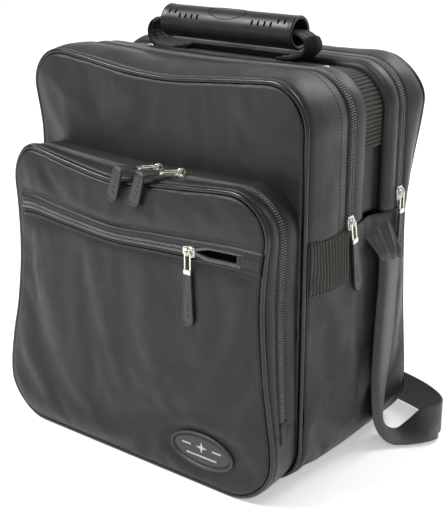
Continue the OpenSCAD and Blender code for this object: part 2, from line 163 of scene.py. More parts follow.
class Shader:
    """A node material whose nodes are added by name and linked in one call."""

    def __init__(self, name, colour, rough, **sockets):
        self.mat = bpy.data.materials.new(name)
        self.mat.use_nodes = True
        self.tree = self.mat.node_tree
        self.out = self.tree.nodes["Principled BSDF"]
        self.out.inputs["Base Color"].default_value = (*colour, 1)
        self.out.inputs["Roughness"].default_value = rough
        for key, value in sockets.items():
            self.out.inputs[key.replace("_", " ")].default_value = value

    def add(self, kind, settings=(), **links):
        node = self.tree.nodes.new(kind)
        for key, value in dict(settings).items():
            if key in node.inputs:
                node.inputs[key].default_value = value
            else:
                setattr(node, key, value)
        for key, source in links.items():
            self.tree.links.new(source, node.inputs[int(key[1:])])
        return node

    def place(self, uv=False, scale=None):
        at = self.add("ShaderNodeTexCoord").outputs["UV" if uv else "Object"]
        if scale is not None:
            at = self.add("ShaderNodeMapping", {"Scale": scale}, i0=at).outputs[0]
        return at

    def wave(self, vector, axis, pitch, distortion=0.0):
        """Ridges across one axis, pitch metres apart, from 0 to 1."""
        node = self.add("ShaderNodeTexWave", {"bands_direction": axis, "Scale": 0.314 / pitch,
                        "Distortion": distortion, "Detail": 0.0}, i0=vector)
        return node.outputs["Fac"]

    def noise(self, vector, scale, detail=3.0, rough=0.5):
        node = self.add("ShaderNodeTexNoise",
                        {"Scale": scale, "Detail": detail, "Roughness": rough}, i0=vector)
        return node.outputs["Fac"]

    def math(self, operation, a, b):
        node = self.add("ShaderNodeMath", {"operation": operation})
        for i, value in enumerate((a, b)):
            if isinstance(value, (int, float)):
                node.inputs[i].default_value = value
            else:
                self.tree.links.new(value, node.inputs[i])
        return node.outputs[0]

    def ramp(self, value, stops):
        node = self.add("ShaderNodeValToRGB", i0=value)
        ends = node.color_ramp.elements
        while len(ends) < len(stops):
            ends.new(0.5)
        for end, (at, colour) in zip(ends, stops):
            end.position = at
            end.color = (*colour, 1)
        return node.outputs["Color"]

    def bump(self, height, depth, strength=1.0, under=None):
        node = self.add("ShaderNodeBump", {"Strength": strength, "Distance": depth})
        self.tree.links.new(height, node.inputs["Height"])
        if under is not None:
            self.tree.links.new(under, node.inputs["Normal"])
        return node.outputs["Normal"]

    def set(self, socket, source):
        self.tree.links.new(source, self.out.inputs[socket])

    def vary(self, value, low, high, socket="Roughness"):
        node = self.add("ShaderNodeMapRange", {"To Min": low, "To Max": high,
                        "From Min": 0.3, "From Max": 0.7}, i0=value)
        self.set(socket, node.outputs[0])


def tint(colour, scale):
    return tuple(c * scale for c in colour)


def nylon(name, colour, rough=0.42, sheen=0.02):
    """Satin woven nylon: fine weave, level slubs, soft creases and colour drift. Its colour
    is painted paler towards the top and darker low down, as painted shade of light from above."""
    s = Shader(name, colour, rough, Sheen_Weight=sheen, Sheen_Roughness=0.4,
               Specular_IOR_Level=0.28)
    at = s.place()
    rise = s.add("ShaderNodeSeparateXYZ", i0=at).outputs["Z"]
    # painted shade: the base colour darkens low down and pales high up, standing in for light that falls from
    # above
    painted_height_shade = s.add("ShaderNodeMapRange", {"From Min": 0.05, "From Max": 0.36, "To Min": 0.28,
                  "To Max": 0.72}, i0=rise).outputs[0]
    weave = s.math("ADD", s.math("ADD", s.wave(at, "X", 0.0009), s.wave(at, "Y", 0.0009)),
                   s.wave(at, "Z", 0.0009))
    slubs = s.noise(s.place(scale=(12, 12, 420)), 1.0, 2)
    creases = s.noise(at, 34, 5, 0.55)
    drift = s.math("ADD", s.math("MULTIPLY", s.noise(at, 9, 2), 0.7),
                   s.math("MULTIPLY", slubs, 0.3))
    # the colour mixes random tone drift with the painted shade by height
    shade = s.math("ADD", s.math("MULTIPLY", drift, 0.4), s.math("MULTIPLY", painted_height_shade, 0.6))
    s.set("Base Color", s.ramp(shade, [(0.3, tint(colour, 0.55)), (0.7, tint(colour, 1.6))]))
    s.vary(creases, rough - 0.08, rough + 0.09)
    coarse = s.bump(creases, 0.0011, 0.5)
    s.set("Normal", s.bump(weave, 0.00005, 0.6, s.bump(slubs, 0.0001, 0.6, coarse)))
    return s.mat


def vinyl(name, colour, rough=0.25):
    s = Shader(name, colour, rough, Coat_Weight=0.2, Coat_Roughness=0.2,
               Specular_IOR_Level=0.35)
    at = s.place()
    s.vary(s.noise(at, 60, 3), rough - 0.05, rough + 0.14)
    scuffs = s.noise(at, 25, 4)
    s.set("Base Color", s.ramp(scuffs, [(0.35, colour), (0.75, tint(colour, 1.9))]))
    s.set("Normal", s.bump(s.noise(at, 240, 2), 0.0002, 0.5))
    return s.mat


def webbing(name, colour, rib, rough=0.7, depth=0.0003, sheen=0.05):
    """Webbing in UV metres: ribs across its length and twisted yarns along it."""
    s = Shader(name, colour, rough, Sheen_Weight=sheen, Sheen_Roughness=0.5,
               Specular_IOR_Level=0.3)
    at = s.place(uv=True)
    ribs = s.wave(at, "X", rib)
    yarns = s.wave(at, "Y", rib * 0.42, 0.5)
    height = s.math("ADD", ribs, s.math("MULTIPLY", yarns, 0.6))
    # painted shade and painted highlight: the colour darkens in the rib grooves and pales on the rib crests,
    # following the rib height
    dark, pale = tint(colour, 0.22), tint(colour, 2.3)
    s.set("Base Color", s.ramp(s.math("MULTIPLY", height, 0.62), [(0.2, dark), (0.85, pale)]))
    fuzz = s.bump(s.noise(s.place(), 900, 2), 0.0003, 0.4)
    s.set("Normal", s.bump(height, depth, 0.9, fuzz))
    return s.mat


def moulded(name, colour, rough=0.42, grain=700, depth=0.00012):
    s = Shader(name, colour, rough, Specular_IOR_Level=0.5)
    at = s.place()
    drift = s.noise(at, 30, 3)
    s.set("Base Color", s.ramp(drift, [(0.3, tint(colour, 0.8)), (0.7, tint(colour, 1.3))]))
    s.vary(drift, rough - 0.06, rough + 0.1)
    s.set("Normal", s.bump(s.noise(at, grain, 3), depth, 0.6))
    return s.mat


def metal(name, colour, rough=0.22):
    s = Shader(name, colour, rough, Metallic=1.0)
    at = s.place()
    worn = s.noise(at, 300, 3)
    s.set("Base Color", s.ramp(worn, [(0.3, tint(colour, 0.7)), (0.7, colour)]))
    s.vary(worn, rough - 0.08, rough + 0.15)
    s.set("Normal", s.bump(s.noise(at, 900, 2), 0.00008, 0.5))
    return s.mat


NYLON = (0.0160, 0.0172, 0.0175)
M = {
    "nylon": nylon("nylon", NYLON),
    "piping_vinyl": vinyl("piping_vinyl", (0.005, 0.005, 0.0055)),
    "zip_tape": nylon("zip_tape", (0.0025, 0.0025, 0.003), 0.8, 0.0),
    "zip_coil": moulded("zip_coil", (0.135, 0.142, 0.145), 0.3),
    "slider_metal": metal("slider_metal", (0.86, 0.83, 0.74)),
    "pull_rubber": moulded("pull_rubber", (0.026, 0.027, 0.028), 0.42),
    "badge_rubber": moulded("badge_rubber", (0.027, 0.029, 0.027), 0.45),
    "badge_mark": moulded("badge_mark", (0.42, 0.43, 0.43), 0.4),
    "grip_rubber": moulded("grip_rubber", (0.012, 0.013, 0.0135), 0.36),
    "ribbed_webbing": webbing("ribbed_webbing", (0.028, 0.028, 0.023), 0.0037),
    "strap_webbing": webbing("strap_webbing", (0.068, 0.0685, 0.0685), 0.0014, 0.5, 0.00012),
    "strap_leather": moulded("strap_leather", (0.040, 0.041, 0.0415), 0.34, 260, 0.0003),
    "lining": nylon("lining", (0.012, 0.012, 0.0125), 0.6),
    "board": moulded("board", (0.05, 0.05, 0.048), 0.6),
    "thread": moulded("thread", (0.010, 0.010, 0.0105), 0.6),
}
SLOTS = {m["slot"] for m in frame["record"]["materials"]}
SLOT_OF = {"badge_mark": "badge_rubber", "thread": "nylon"}


# ---- Shape: how the sewn bag differs from its flat plan ----

def ease(x, points):
    """Smooth curve through (x, value) points, level at and beyond both ends."""
    if x <= points[0][0]:
        return points[0][1]
    last = len(points) - 1
    for i in range(last):
        (x0, v0), (x1, v1) = points[i], points[i + 1]
        if x <= x1:
            step = x1 - x0
            t = (x - x0) / step
            m0 = step * (v1 - points[i - 1][1]) / (x1 - points[i - 1][0]) if i else 0
            m1 = 0
            if i + 1 < last:
                m1 = step * (points[i + 2][1] - v0) / (points[i + 2][0] - x0)
            return (v0 * (1 + 2 * t) * (1 - t) ** 2 + v1 * t * t * (3 - 2 * t) +
                    m0 * t * (1 - t) ** 2 - m1 * t * t * (1 - t))
    return points[-1][1]


def bell(x, middle, width):
    return math.exp(-((x - middle) / width) ** 2)


def body_warp(p):
    """Moves a point of the sewn body from its plan to where the cloth really hangs."""
    x, y, z = p
    high = ease(z, [(200, 0), (TOP, 1)])
    at_front = ease(y, [(FRONT_Y, 1), (MAIN_ZIP_Y, 0.25), (VALLEY_Y, 0)])
    at_back = ease(y, [(REAR_ZIP_Y + 6, 0), (BACK_Y, 1)])
    sag = ease(x, [(-150, 3), (-115, 3), (-41, -6), (8, -8), (60, -4), (120, 1), (150, 1)])
    puff = ease(y, [(FRONT_Y, 0), (FRONT_Y + 28, 1), (MAIN_ZIP_Y - 8, 0)])
    dz = high * (sag * at_front + 3 * puff * ease(abs(x), [(60, 1), (150, 0)]))
    dz += high * at_back * ease(abs(x), [(70, 0), (120, 1), (155, 0)]) * 2
    side = ease(abs(x), [(60, 0), (HALF, 1)]) * (1 if x > 0 else -1)
    waist = ease(z, [(20, 0), (60, -1), (130, -6), (225, -9), (265, -4), (325, 4), (TOP, 0)])
    dx = waist * at_back * side
    lean = ease(z, [(120, 0), (200, 4), (280, 11), (330, 3), (TOP, 0)])
    dx += lean * at_front * max(0, -side)
    dent = bell(y, (VALLEY_Y + RIDGE_Y) / 2, 21) * ease(z, [(10, 0), (70, 1), (ZIP_END, 1.1)])
    if z < ZIP_END + 1:
        dx -= 6 * dent * side
    dy = at_back * 6 * high * ease(abs(x), [(0, 1), (150, 0.5)])
    return Vector((x + dx, y + dy, z + dz))


def pocket_warp(p):
    x, y, z = p
    near = ease(y, [(POCKET_Y, 1), (POCKET_ZIP_Y, 0.4), (FRONT_Y, 0.2)])
    high = ease(z, [(150, 0), (PTOP, 1)])
    sag = ease(x, [(-150, 7), (-119, 8), (-62, -1), (-14, -7), (32, -3), (75, 1), (120, 5),
                   (150, 5)])
    left = ease(z, [(0, -3), (44, -9), (84, -3), (122, 7), (175, 15), (225, 15), (264, 9),
                    (PTOP, 5)])
    right = ease(z, [(0, 5), (48, 12), (84, 8), (120, 3), (176, -1), (203, 0), (251, 5),
                     (PTOP, 4)])
    dx = right * near * ease(x, [(90, 0), (PHALF, 1)])
    dx += left * near * ease(-x, [(80, 0), (PHALF, 1)])
    return Vector((x + dx, y, z + sag * high * near))


def ripple(p, amount, size=45.0, seed=0.0):
    """Soft cloth unevenness at a point, in millimetres."""
    at = Vector(p) / size + Vector((seed, seed * 1.7, -seed))
    return amount * (noise.noise(at) + 0.45 * noise.noise(at * 2.7))


def folds(*creases):
    """Height of creases at a point. Each is (x0, z0, x1, z1, width, height)."""
    def height(x, z):
        total = 0.0
        for x0, z0, x1, z1, width, rise in creases:
            dx, dz = x1 - x0, z1 - z0
            length2 = dx * dx + dz * dz
            t = ((x - x0) * dx + (z - z0) * dz) / length2
            t = min(1, max(0, t))
            off = math.hypot(x - x0 - dx * t, z - z0 - dz * t)
            total += rise * math.sin(math.pi * (0.12 + 0.76 * t)) * math.exp(
                -(off / width) ** 1.5)
        return total
    return height


# ---- Mesh building ----

def make_piece(name, verts, faces, mat, body=None, uvs=None, smooth=True):
    mesh = bpy.data.meshes.new(name)
    mesh.from_pydata([Vector(v) * MM for v in verts], [], faces)
    mesh.validate()
    if uvs is not None:
        layer = mesh.uv_layers.new(name="UVMap")
        for loop in mesh.loops:
            layer.data[loop.index].uv = uvs[loop.vertex_index]
    if smooth:
        mesh.shade_smooth()
    piece = bpy.data.objects.new(name, mesh)
    bpy.context.collection.objects.link(piece)
    mesh.materials.append(M[mat])
    if body is not None:
        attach(piece, body)
    mat if mat in SLOTS else SLOT_OF[mat]
    return piece


def settle(verts, faces, pinned, spare=0.006, pressure=0.5, cap=6.0, steps=18):
    """Lets a sheet settle as cloth from its pinned points. It is spare longer than its
    frame, so it puckers and hangs. Returns the new points, each moved by at most cap."""
    mesh = bpy.data.meshes.new("settling")
    mesh.from_pydata([Vector(v) * MM for v in verts], [], faces)
    piece = bpy.data.objects.new("settling", mesh)
    bpy.context.collection.objects.link(piece)
    held = piece.vertex_groups.new(name="held")
    for index, weight in pinned.items():
        held.add([index], weight, "REPLACE")
    cloth = piece.modifiers.new("cloth", "CLOTH")
    s = cloth.settings
    s.quality = 6
    s.mass = 0.2
    s.tension_stiffness = 40
    s.compression_stiffness = 40
    s.shear_stiffness = 12
    s.bending_stiffness = 1.5
    s.air_damping = 4
    s.shrink_min = -spare
    s.vertex_group_mass = "held"
    s.pin_stiffness = 1
    s.use_pressure = True
    s.uniform_pressure_force = pressure
    s.effector_weights.gravity = 0.15
    cloth.collision_settings.use_collision = False
    scene = bpy.context.scene
    for step in range(1, steps + 1):
        scene.frame_set(step)
    done = piece.evaluated_get(bpy.context.evaluated_depsgraph_get()).data
    out = []
    for start, vertex in zip(verts, done.vertices):
        start = Vector(start)
        move = vertex.co / MM - start
        if move.length > cap:
            move *= cap / move.length
        out.append(start + move)
    bpy.data.objects.remove(piece)
    scene.frame_set(1)
    return out


def above_floor(verts):
    return [Vector((v[0], v[1], max(v[2], 0.2))) for v in verts]


def thicken(verts, faces, thick):
    """Adds the inner side of a sheet, and joins the two along every open edge."""
    normals = [Vector() for _ in verts]
    for f in faces:
        a, b, c, d = (Vector(verts[i]) for i in (f[0], f[1], f[2], f[-1]))
        n = (c - a).cross(d - b) if len(f) == 4 else (b - a).cross(c - a)
        for i in f:
            normals[i] += n
    base = len(verts)
    inner = [Vector(v) - n.normalized() * thick for v, n in zip(verts, normals)]
    seen = {(a, b) for f in faces for a, b in zip(f, f[1:] + f[:1])}
    rim = [(b, a, base + a, base + b) for a, b in seen if (b, a) not in seen]
    back = [tuple(base + i for i in reversed(f)) for f in faces]
    return list(verts) + inner, list(faces) + back + sorted(rim)


def arc(cx, cz, r, start, end, step):
    """Points on an arc, with the outward direction at each."""
    count = max(4, round(abs(math.radians(end - start)) * r / step))
    angles = [math.radians(start + (end - start) * i / count) for i in range(count + 1)]
    return [(cx + r * math.cos(a), cz + r * math.sin(a), math.cos(a), math.sin(a))
            for a in angles]


def run(a, b, out, step):
    """Points between two corners of an outline, without its ends."""
    count = max(1, round(math.dist(a, b) / step))
    return [(a[0] + (b[0] - a[0]) * i / count, a[1] + (b[1] - a[1]) * i / count, *out)
            for i in range(1, count)]


def outline(half, height, inset=0.0, step=4.0):
    """Closed rounded rectangle, from the right foot up, over the top and back below."""
    w, top, low = half - inset, height - inset, inset
    rt, rl = TOP_R - inset, LOW_R - inset
    cx, cz, fx = half - TOP_R, height - TOP_R, half - LOW_R
    path = run((w, LOW_R), (w, cz), (1, 0), step)
    path += arc(cx, cz, rt, 0, 90, step)
    path += run((cx, top), (-cx, top), (0, 1), step)
    path += arc(-cx, cz, rt, 90, 180, step)
    path += run((-w, cz), (-w, LOW_R), (-1, 0), step)
    path += arc(-fx, LOW_R, rl, 180, 270, step)
    path += run((-fx, low), (fx, low), (0, -1), step)
    path += arc(fx, LOW_R, rl, 270, 360, step)
    return path


def cut(path, z_from, z_to=1e9):
    """The part of an outline between two heights, starting after its largest gap."""
    kept = []
    for a, b in zip(path, path[1:] + path[:1]):
        if z_from <= a[1] <= z_to:
            kept.append(a)
        for level in (z_from, z_to):
            if (a[1] - level) * (b[1] - level) < 0:
                t = (level - a[1]) / (b[1] - a[1])
                kept.append(tuple(a[k] + (b[k] - a[k]) * t for k in range(4)))
    gaps = [math.dist(kept[i - 1][:2], kept[i][:2]) for i in range(len(kept))]
    first = gaps.index(max(gaps))
    return kept[first:] + kept[:first]


def lengths(points):
    total, out = 0.0, [0.0]
    for a, b in zip(points, points[1:]):
        total += math.dist(a, b)
        out.append(total)
    return out


def walk(path, pitch, offsets=(0.5,)):
    """Points along an outline, one set for each pitch, as (index, offset, x, z, nx, nz)."""
    along = lengths([p[:2] for p in path])
    k = 0
    for i in range(int(along[-1] / pitch)):
        for offset in offsets:
            s = (i + offset) * pitch
            while k < len(along) - 2 and along[k + 1] < s:
                k += 1
            t = (s - along[k]) / max(1e-9, along[k + 1] - along[k])
            yield (i, offset, *(path[k][m] + (path[k + 1][m] - path[k][m]) * t
                                for m in range(4)))


def grid_faces(rows, cols, closed=False, skip=()):
    return [(r * cols + c, r * cols + c + 1, (r + 1) % rows * cols + c + 1,
             (r + 1) % rows * cols + c)
            for r in range(rows if closed else rows - 1) for c in range(cols - 1)
            if (r, c) not in skip]


def strip(name, path, profile, warp, mat, thick=1.6, closed=False, wrinkle=0.0, seed=0.0,
          body=None, ribs=None, spare=None, extra=None):
    """Cloth along an outline. profile lists (y, outward offset) from front to back."""
    along = lengths([p[:2] for p in path])
    across = lengths(profile)
    cols = len(profile)
    verts, uvs = [], []
    for i, (x, z, nx, nz) in enumerate(path):
        for j, (y, out) in enumerate(profile):
            push = out
            if wrinkle:
                free = min(1, 3 * min(j, cols - 1 - j) / cols)
                push += ripple((x, y, z), wrinkle, seed=seed) * free
            if extra is not None:
                push += extra(x, y, z)
            if ribs is not None and 0 < j < cols - 1:
                pitch, rise = ribs
                push += rise * (0.5 - 0.5 * math.cos(2 * math.pi * along[i] / pitch))
            verts.append(warp((x + nx * push, y, z + nz * push)))
            uvs.append((along[i] * MM, across[j] * MM))
    rows = len(path)
    faces = grid_faces(rows, cols, closed)
    if spare is not None:
        held = {r * cols + c: 1.0 for r in range(rows) for c in range(cols)
                if c in (0, cols - 1) or (not closed and r in (0, rows - 1))}
        verts = settle(verts, faces, held, spare)
    verts, faces = thicken(above_floor(verts), faces, thick)
    return make_piece(name, verts, faces, mat, body, uvs + uvs)


def tube(name, points, radius, mat, closed=False, sides=10, body=None, ups=None):
    """A round cord through points in space. ups gives a direction off its path, one for
    the whole cord or one for each point."""
    count = len(points)
    verts, faces = [], []
    for i in range(count):
        before = points[i - 1] if closed or i else points[0]
        after = points[(i + 1) % count] if closed or i < count - 1 else points[-1]
        t = (Vector(after) - Vector(before)).normalized()
        side = Vector((0, 1, 0))
        if ups is not None:
            side = ups[i] if isinstance(ups, list) else ups
        n = (side - t * side.dot(t)).normalized()
        b = t.cross(n)
        for k in range(sides):
            a = 2 * math.pi * k / sides
            verts.append(Vector(points[i]) + radius * (math.cos(a) * n + math.sin(a) * b))
    for i in range(count if closed else count - 1):
        m = (i + 1) % count
        for k in range(sides):
            q = (k + 1) % sides
            faces.append((i * sides + k, i * sides + q, m * sides + q, m * sides + k))
    if not closed:
        faces.append(tuple(reversed(range(sides))))
        faces.append(tuple((count - 1) * sides + k for k in range(sides)))
    return make_piece(name, verts, faces, mat, body)


def crown(v, rise, edge=0.1):
    """Rise of a padded panel at v from 0 to 1 across it, falling to its seams."""
    t = min(v, 1 - v) / edge
    return rise * (1 if t >= 1 else math.sin(t * math.pi / 2))


def panel_grid(half, height, inset, step):
    """Rows of (u, v, x, z) that fill a rounded outline, from four of its curved sides."""
    pts = [p[:2] for p in outline(half, height, inset=inset, step=2.0)]

    def corner(sx, sz):
        r = TOP_R if sz > 0 else LOW_R
        k = (r - inset) * math.sqrt(0.5)
        return (sx * (half - r + k), (height - r if sz > 0 else r) + sz * k)

    def edge(start, end, count):
        line = [pts[start]]
        i = start
        while i != end:
            i = (i + 1) % len(pts)
            line.append(pts[i])
        s = lengths(line)
        out, k = [], 0
        for n in range(count + 1):
            target = s[-1] * n / count
            while k < len(s) - 2 and s[k + 1] < target:
                k += 1
            t = (target - s[k]) / max(1e-9, s[k + 1] - s[k])
            out.append(tuple(line[k][m] + (line[k + 1][m] - line[k][m]) * t for m in (0, 1)))
        return out

    corners = [corner(1, -1), corner(1, 1), corner(-1, 1), corner(-1, -1)]
    at = [min(range(len(pts)), key=lambda i: math.dist(pts[i], c)) for c in corners]
    cols, rows = round(2 * half / step), round(height / step)
    right = edge(at[0], at[1], rows)
    top = edge(at[1], at[2], cols)[::-1]
    left = edge(at[2], at[3], rows)[::-1]
    bottom = edge(at[3], at[0], cols)
    grid = []
    for r in range(rows + 1):
        v = r / rows
        row = []
        for c in range(cols + 1):
            u = c / cols
            row.append((u, v, *(
                (1 - v) * bottom[c][k] + v * top[c][k] + (1 - u) * left[r][k] + u * right[r][k]
                - (1 - u) * (1 - v) * bottom[0][k] - u * (1 - v) * bottom[-1][k]
                - (1 - u) * v * top[0][k] - u * v * top[-1][k] for k in (0, 1))))
        grid.append(row)
    return grid


def panel(name, half, height, y, facing, warp, rise, wrinkle, step=4.5, thick=2.0, seed=0.0,
          extra=None, flat=None, hole=None, spare=0.006):
    """A padded panel inside a rounded outline. facing is -1 for the front, 1 for the back.
    flat gives how much of the padding is left at a point, from 0 to 1."""
    grid = panel_grid(half, height, SEAM_GAP, step)
    rows, cols = len(grid), len(grid[0])
    verts, uvs, held, skip = [], [], {}, set()
    for r, row in enumerate(grid):
        for c, (u, v, x, z) in enumerate(row):
            lift = min(crown(u, 1), crown(v, 1))
            push = rise + ripple((x, y, z), wrinkle, seed=seed)
            if extra is not None:
                push += extra(x, z)
            left = 1 if flat is None else flat(x, z)
            verts.append(warp((x, y + facing * push * lift * left, z)))
            uvs.append((x * MM, z * MM))
            if min(r, c, rows - 1 - r, cols - 1 - c) == 0 or left < 0.4:
                held[r * cols + c] = 1.0
            if hole is not None and hole[0] <= x <= hole[1] and hole[2] <= z <= hole[3]:
                skip.add((r, c))
    faces = grid_faces(rows, cols, skip=skip)
    if facing > 0:
        faces = [tuple(reversed(f)) for f in faces]
    verts = settle(verts, faces, held, spare)
    verts, faces = thicken(above_floor(verts), faces, thick)
    return make_piece(name, verts, faces, "nylon", None, uvs + uvs)


# ---- Zips, piping and stitches ----

TOOTH_PITCH = 2.2
TOOTH = ((0.1, 0.2, 1.2, 0.4), (0.9, 0.0, 2.1, 0.52), (2.6, 0.0, 2.1, 0.52),
         (3.4, 0.0, 0.9, 0.4))
LIP = 3.9


def teeth(name, path, y, side, warp, body=None):
    """One half of a nylon coil: a row of slanted, rounded loops along an outline."""
    verts, faces = [], []
    for i, offset, x, z, nx, nz in walk(path, TOOTH_PITCH, (0.25 if side > 0 else 0.75,)):
        start = len(verts)
        for reach, low, high, wide in TOOTH:
            for across, up in ((-wide, low), (wide, low), (wide, high), (-wide, high)):
                out = up + 0.1
                shift = across + 0.22 * side * reach
                verts.append(warp((x + nx * out + nz * shift, y + side * reach,
                                   z + nz * out - nx * shift)))
        for m in range(3):
            a = start + 4 * m
            faces += [(a + q, a + (q + 1) % 4, a + 4 + (q + 1) % 4, a + 4 + q)
                      for q in range(4)]
        faces.append((start + 3, start + 2, start + 1, start))
        faces.append(tuple(start + 12 + q for q in range(4)))
        if side > 0:
            faces[-14:] = [tuple(reversed(f)) for f in faces[-14:]]
    return make_piece(name, verts, faces, "zip_coil", body)


def surface(piece):
    """A tree of a finished piece's faces, in millimetres, to find points on it."""
    mesh = piece.data
    return BVHTree.FromPolygons([v.co / MM for v in mesh.vertices],
                                [p.vertices[:] for p in mesh.polygons])


def stitches(name, points, cloth, body=None, pitch=3.4, wide=0.4, mat="thread"):
    """A row of sewn stitches through points just off a piece of cloth, each a short
    thread lying on it."""
    tree = surface(cloth)
    points = [Vector(p) for p in points]
    along = lengths(points)
    verts, faces = [], []
    k = 0
    for i in range(int(along[-1] / pitch)):
        start = len(verts)
        for part, rise in ((0.1, -0.5), (0.25, 0.15), (0.75, 0.15), (0.9, -0.5)):
            s = (i + part) * pitch
            while k < len(along) - 2 and along[k + 1] < s:
                k += 1
            t = (s - along[k]) / max(1e-9, along[k + 1] - along[k])
            p, out, _, _ = tree.find_nearest(points[k].lerp(points[k + 1], t))
            side = (points[k + 1] - points[k]).normalized().cross(out)
            verts += [p + out * (rise - 0.3) - side * wide,
                      p + out * (rise - 0.3) + side * wide, p + out * (rise + 0.35)]
        for m in (0, 3, 6):
            faces += [(start + m + q, start + m + 3 + q, start + m + 3 + (q + 1) % 3,
                       start + m + (q + 1) % 3) for q in range(3)]
        faces.append((start, start + 1, start + 2))
        faces.append((start + 11, start + 10, start + 9))
    return make_piece(name, verts, faces, mat, body)


def piping(name, half, height, y, warp):
    path = outline(half, height, inset=PIPING_R, step=3.0)
    return tube(name, [warp((p[0], y, p[1])) for p in path], PIPING_R, "piping_vinyl", True)


def ramped(y0, y1, rise, count=9):
    """Cross section of a strip between two seams, as (y, outward offset)."""
    return [(y0 + (y1 - y0) * i / count, rise * math.sin(math.pi * i / count) ** 0.7)
            for i in range(count + 1)]


make_camera()
make_studio()

# ---- Main compartment ----

BODY = outline(HALF, TOP)
LOWER = cut(outline(HALF, TOP, step=5.0), -1, ZIP_END)
UPPER = cut(BODY, ZIP_END)


def seam_allowance(y, facing):
    """A gusset's edge turned in behind its panel, from the piping to the free edge."""
    return [(y, -1.5), (y - facing * 0.3, -5), (y - facing * 0.3, -11)]


def blend_flap(piece):
    """Cloth on one of the three opening fronts, with its placement baked into its mesh."""
    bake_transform(piece)


def main_flap(piece):
    blend_flap(piece)


def rear_flap(piece):
    blend_flap(piece)


def rear_rim(piece):
    blend_flap(piece)


def pocket_flap(piece):
    blend_flap(piece)


def pocket_rim(piece):
    blend_flap(piece)


def on_shell(piece):
    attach(piece, "shell")


front = panel("front_panel_cloth", HALF, TOP, FRONT_Y, -1, body_warp, 3.5, 1.6, seed=3.0,
              extra=folds((-150, 345, -70, 300, 9, 2.2), (-120, 350, -15, 292, 13, -2.6),
                          (-60, 352, 30, 305, 10, 2.0), (60, 350, 120, 296, 12, -2.4),
                          (150, 330, 95, 285, 8, 2.0), (-30, 318, 60, 300, 16, -2.2),
                          (140, 240, 152, 130, 6, 1.6)))
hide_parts("front_panel", "front_panel_upper")
main_flap(front)

cord = piping("main_piping_cord", HALF, TOP, FRONT_Y + PIPING_R, body_warp)
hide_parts("main_piping_lower", "main_piping_upper")
main_flap(cord)


def side_folds(x, y, z):
    """Creases of the side cloth, mirrored on the two sides."""
    if z < LOW_R:
        return 0.0
    return SIDE_CREASES(y, z)


SIDE_CREASES = folds((-62, 70, -10, 100, 7, 2.0), (-35, 160, -25, 70, 8, -1.6),
                     (-58, 60, 5, 78, 6, 1.8), (-30, 215, -45, 120, 9, 1.4),
                     (8, 190, 2, 90, 7, 2.0), (66, 190, 78, 60, 12, -1.6),
                     (98, 200, 92, 80, 8, 1.6), (20, 45, 60, 90, 8, 1.6))
gusset = strip("body_gusset_cloth", LOWER, ramped(FRONT_Y + SEAM_GAP, BACK_Y - SEAM_GAP, 2.0, 36),
               body_warp, "nylon", wrinkle=1.2, seed=5.0, body="shell", spare=0.006,
               extra=side_folds)
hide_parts("bottom_gusset", "side_gussets", "rear_side_gussets")

front_strip = strip("main_gusset_front_cloth", UPPER,
                    seam_allowance(FRONT_Y + SEAM_GAP, -1)[::-1] +
                    ramped(FRONT_Y + SEAM_GAP, MAIN_ZIP_Y - LIP, 3.0, 14), body_warp, "nylon",
                    wrinkle=1.3, seed=8.0)
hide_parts("main_gusset_front")
main_flap(front_strip)

WALL_IN = ((-0.5, 0), (1.0, -4), (0.5, -VALLEY_DROP - 1))
rear_strip = strip("main_gusset_rear_cloth", UPPER,
                   ramped(MAIN_ZIP_Y + LIP, VALLEY_Y - 1, 1.4, 6) +
                   [(VALLEY_Y + dy, out) for dy, out in WALL_IN],
                   body_warp, "nylon", wrinkle=0.6, seed=9.0, body="shell")
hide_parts("main_gusset_rear")


def zip_half(label, path, y, side, warp, follow, nodes):
    """Tape, coil and folded cloth lip on one side of a zip."""
    tape_line = sorted([(y + side * 0.3, -0.9), (y + side * 4, -0.9), (y + side * 9, -1.2)])
    tape = strip(label + "_tape", path, tape_line, warp, "zip_tape", thick=0.8)
    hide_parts(*nodes)
    coil = teeth(label + "_coil", path, y, side, warp)
    lip_y = y + side * (LIP + 0.5)
    lip = tube(label + "_lip", [warp((x + nx * 0.5, lip_y, z + nz * 0.5))
                                for x, z, nx, nz in path], 1.25, "nylon", sides=8)
    for piece in (tape, coil, lip):
        follow(piece)


zip_half("main_zip_front", UPPER, MAIN_ZIP_Y, -1, body_warp, main_flap,
         ("main_zip_front", "main_zip_front_sides"))
zip_half("main_zip_rear", UPPER, MAIN_ZIP_Y, 1, body_warp, on_shell, ("main_zip_rear",))


def seam(name, path, y, warp, cloth, follow, off=4.0, pitch=3.4):
    """A stitched line that runs along an outline, on a piece of cloth."""
    row = stitches(name, [warp((x + nx * off, y, z + nz * off)) for x, z, nx, nz in path],
                   cloth, pitch=pitch)
    follow(row)


seam("main_front_stitches", UPPER, MAIN_ZIP_Y - 19, body_warp, front_strip, main_flap)
seam("main_lip_stitches", UPPER, MAIN_ZIP_Y - LIP - 3.5, body_warp, front_strip, main_flap)

# ---- Recessed band ----

valley = cut(outline(HALF, TOP, inset=VALLEY_DROP), ZIP_END)
band = strip("valley_cloth", valley, [(VALLEY_Y - 1, 0), (VALLEY_Y + 12, 0.5),
             (RIDGE_Y - 12, 0.5), (RIDGE_Y + 1, 0)], body_warp, "nylon", body="shell")
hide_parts("valley_band")


def webbing_profile(y0, y1, out, thick, cols=6):
    middle = [(y0 + 0.8 + (y1 - y0 - 1.6) * i / cols, out + thick) for i in range(cols + 1)]
    return [(y0, out), *middle, (y1, out)]


RIB = 3.7
low_web, high_web = span("handle_webbing")
web = strip("handle_webbing_cloth",
            cut(outline(HALF, TOP, inset=VALLEY_DROP, step=0.95), low_web.z + 42),
            webbing_profile(low_web.y + 1, high_web.y - 1, 0.8, 1.2), body_warp,
            "ribbed_webbing", thick=0.5, body="shell", ribs=(RIB, 1.1))
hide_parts("handle_webbing")

# ---- Rear compartment ----

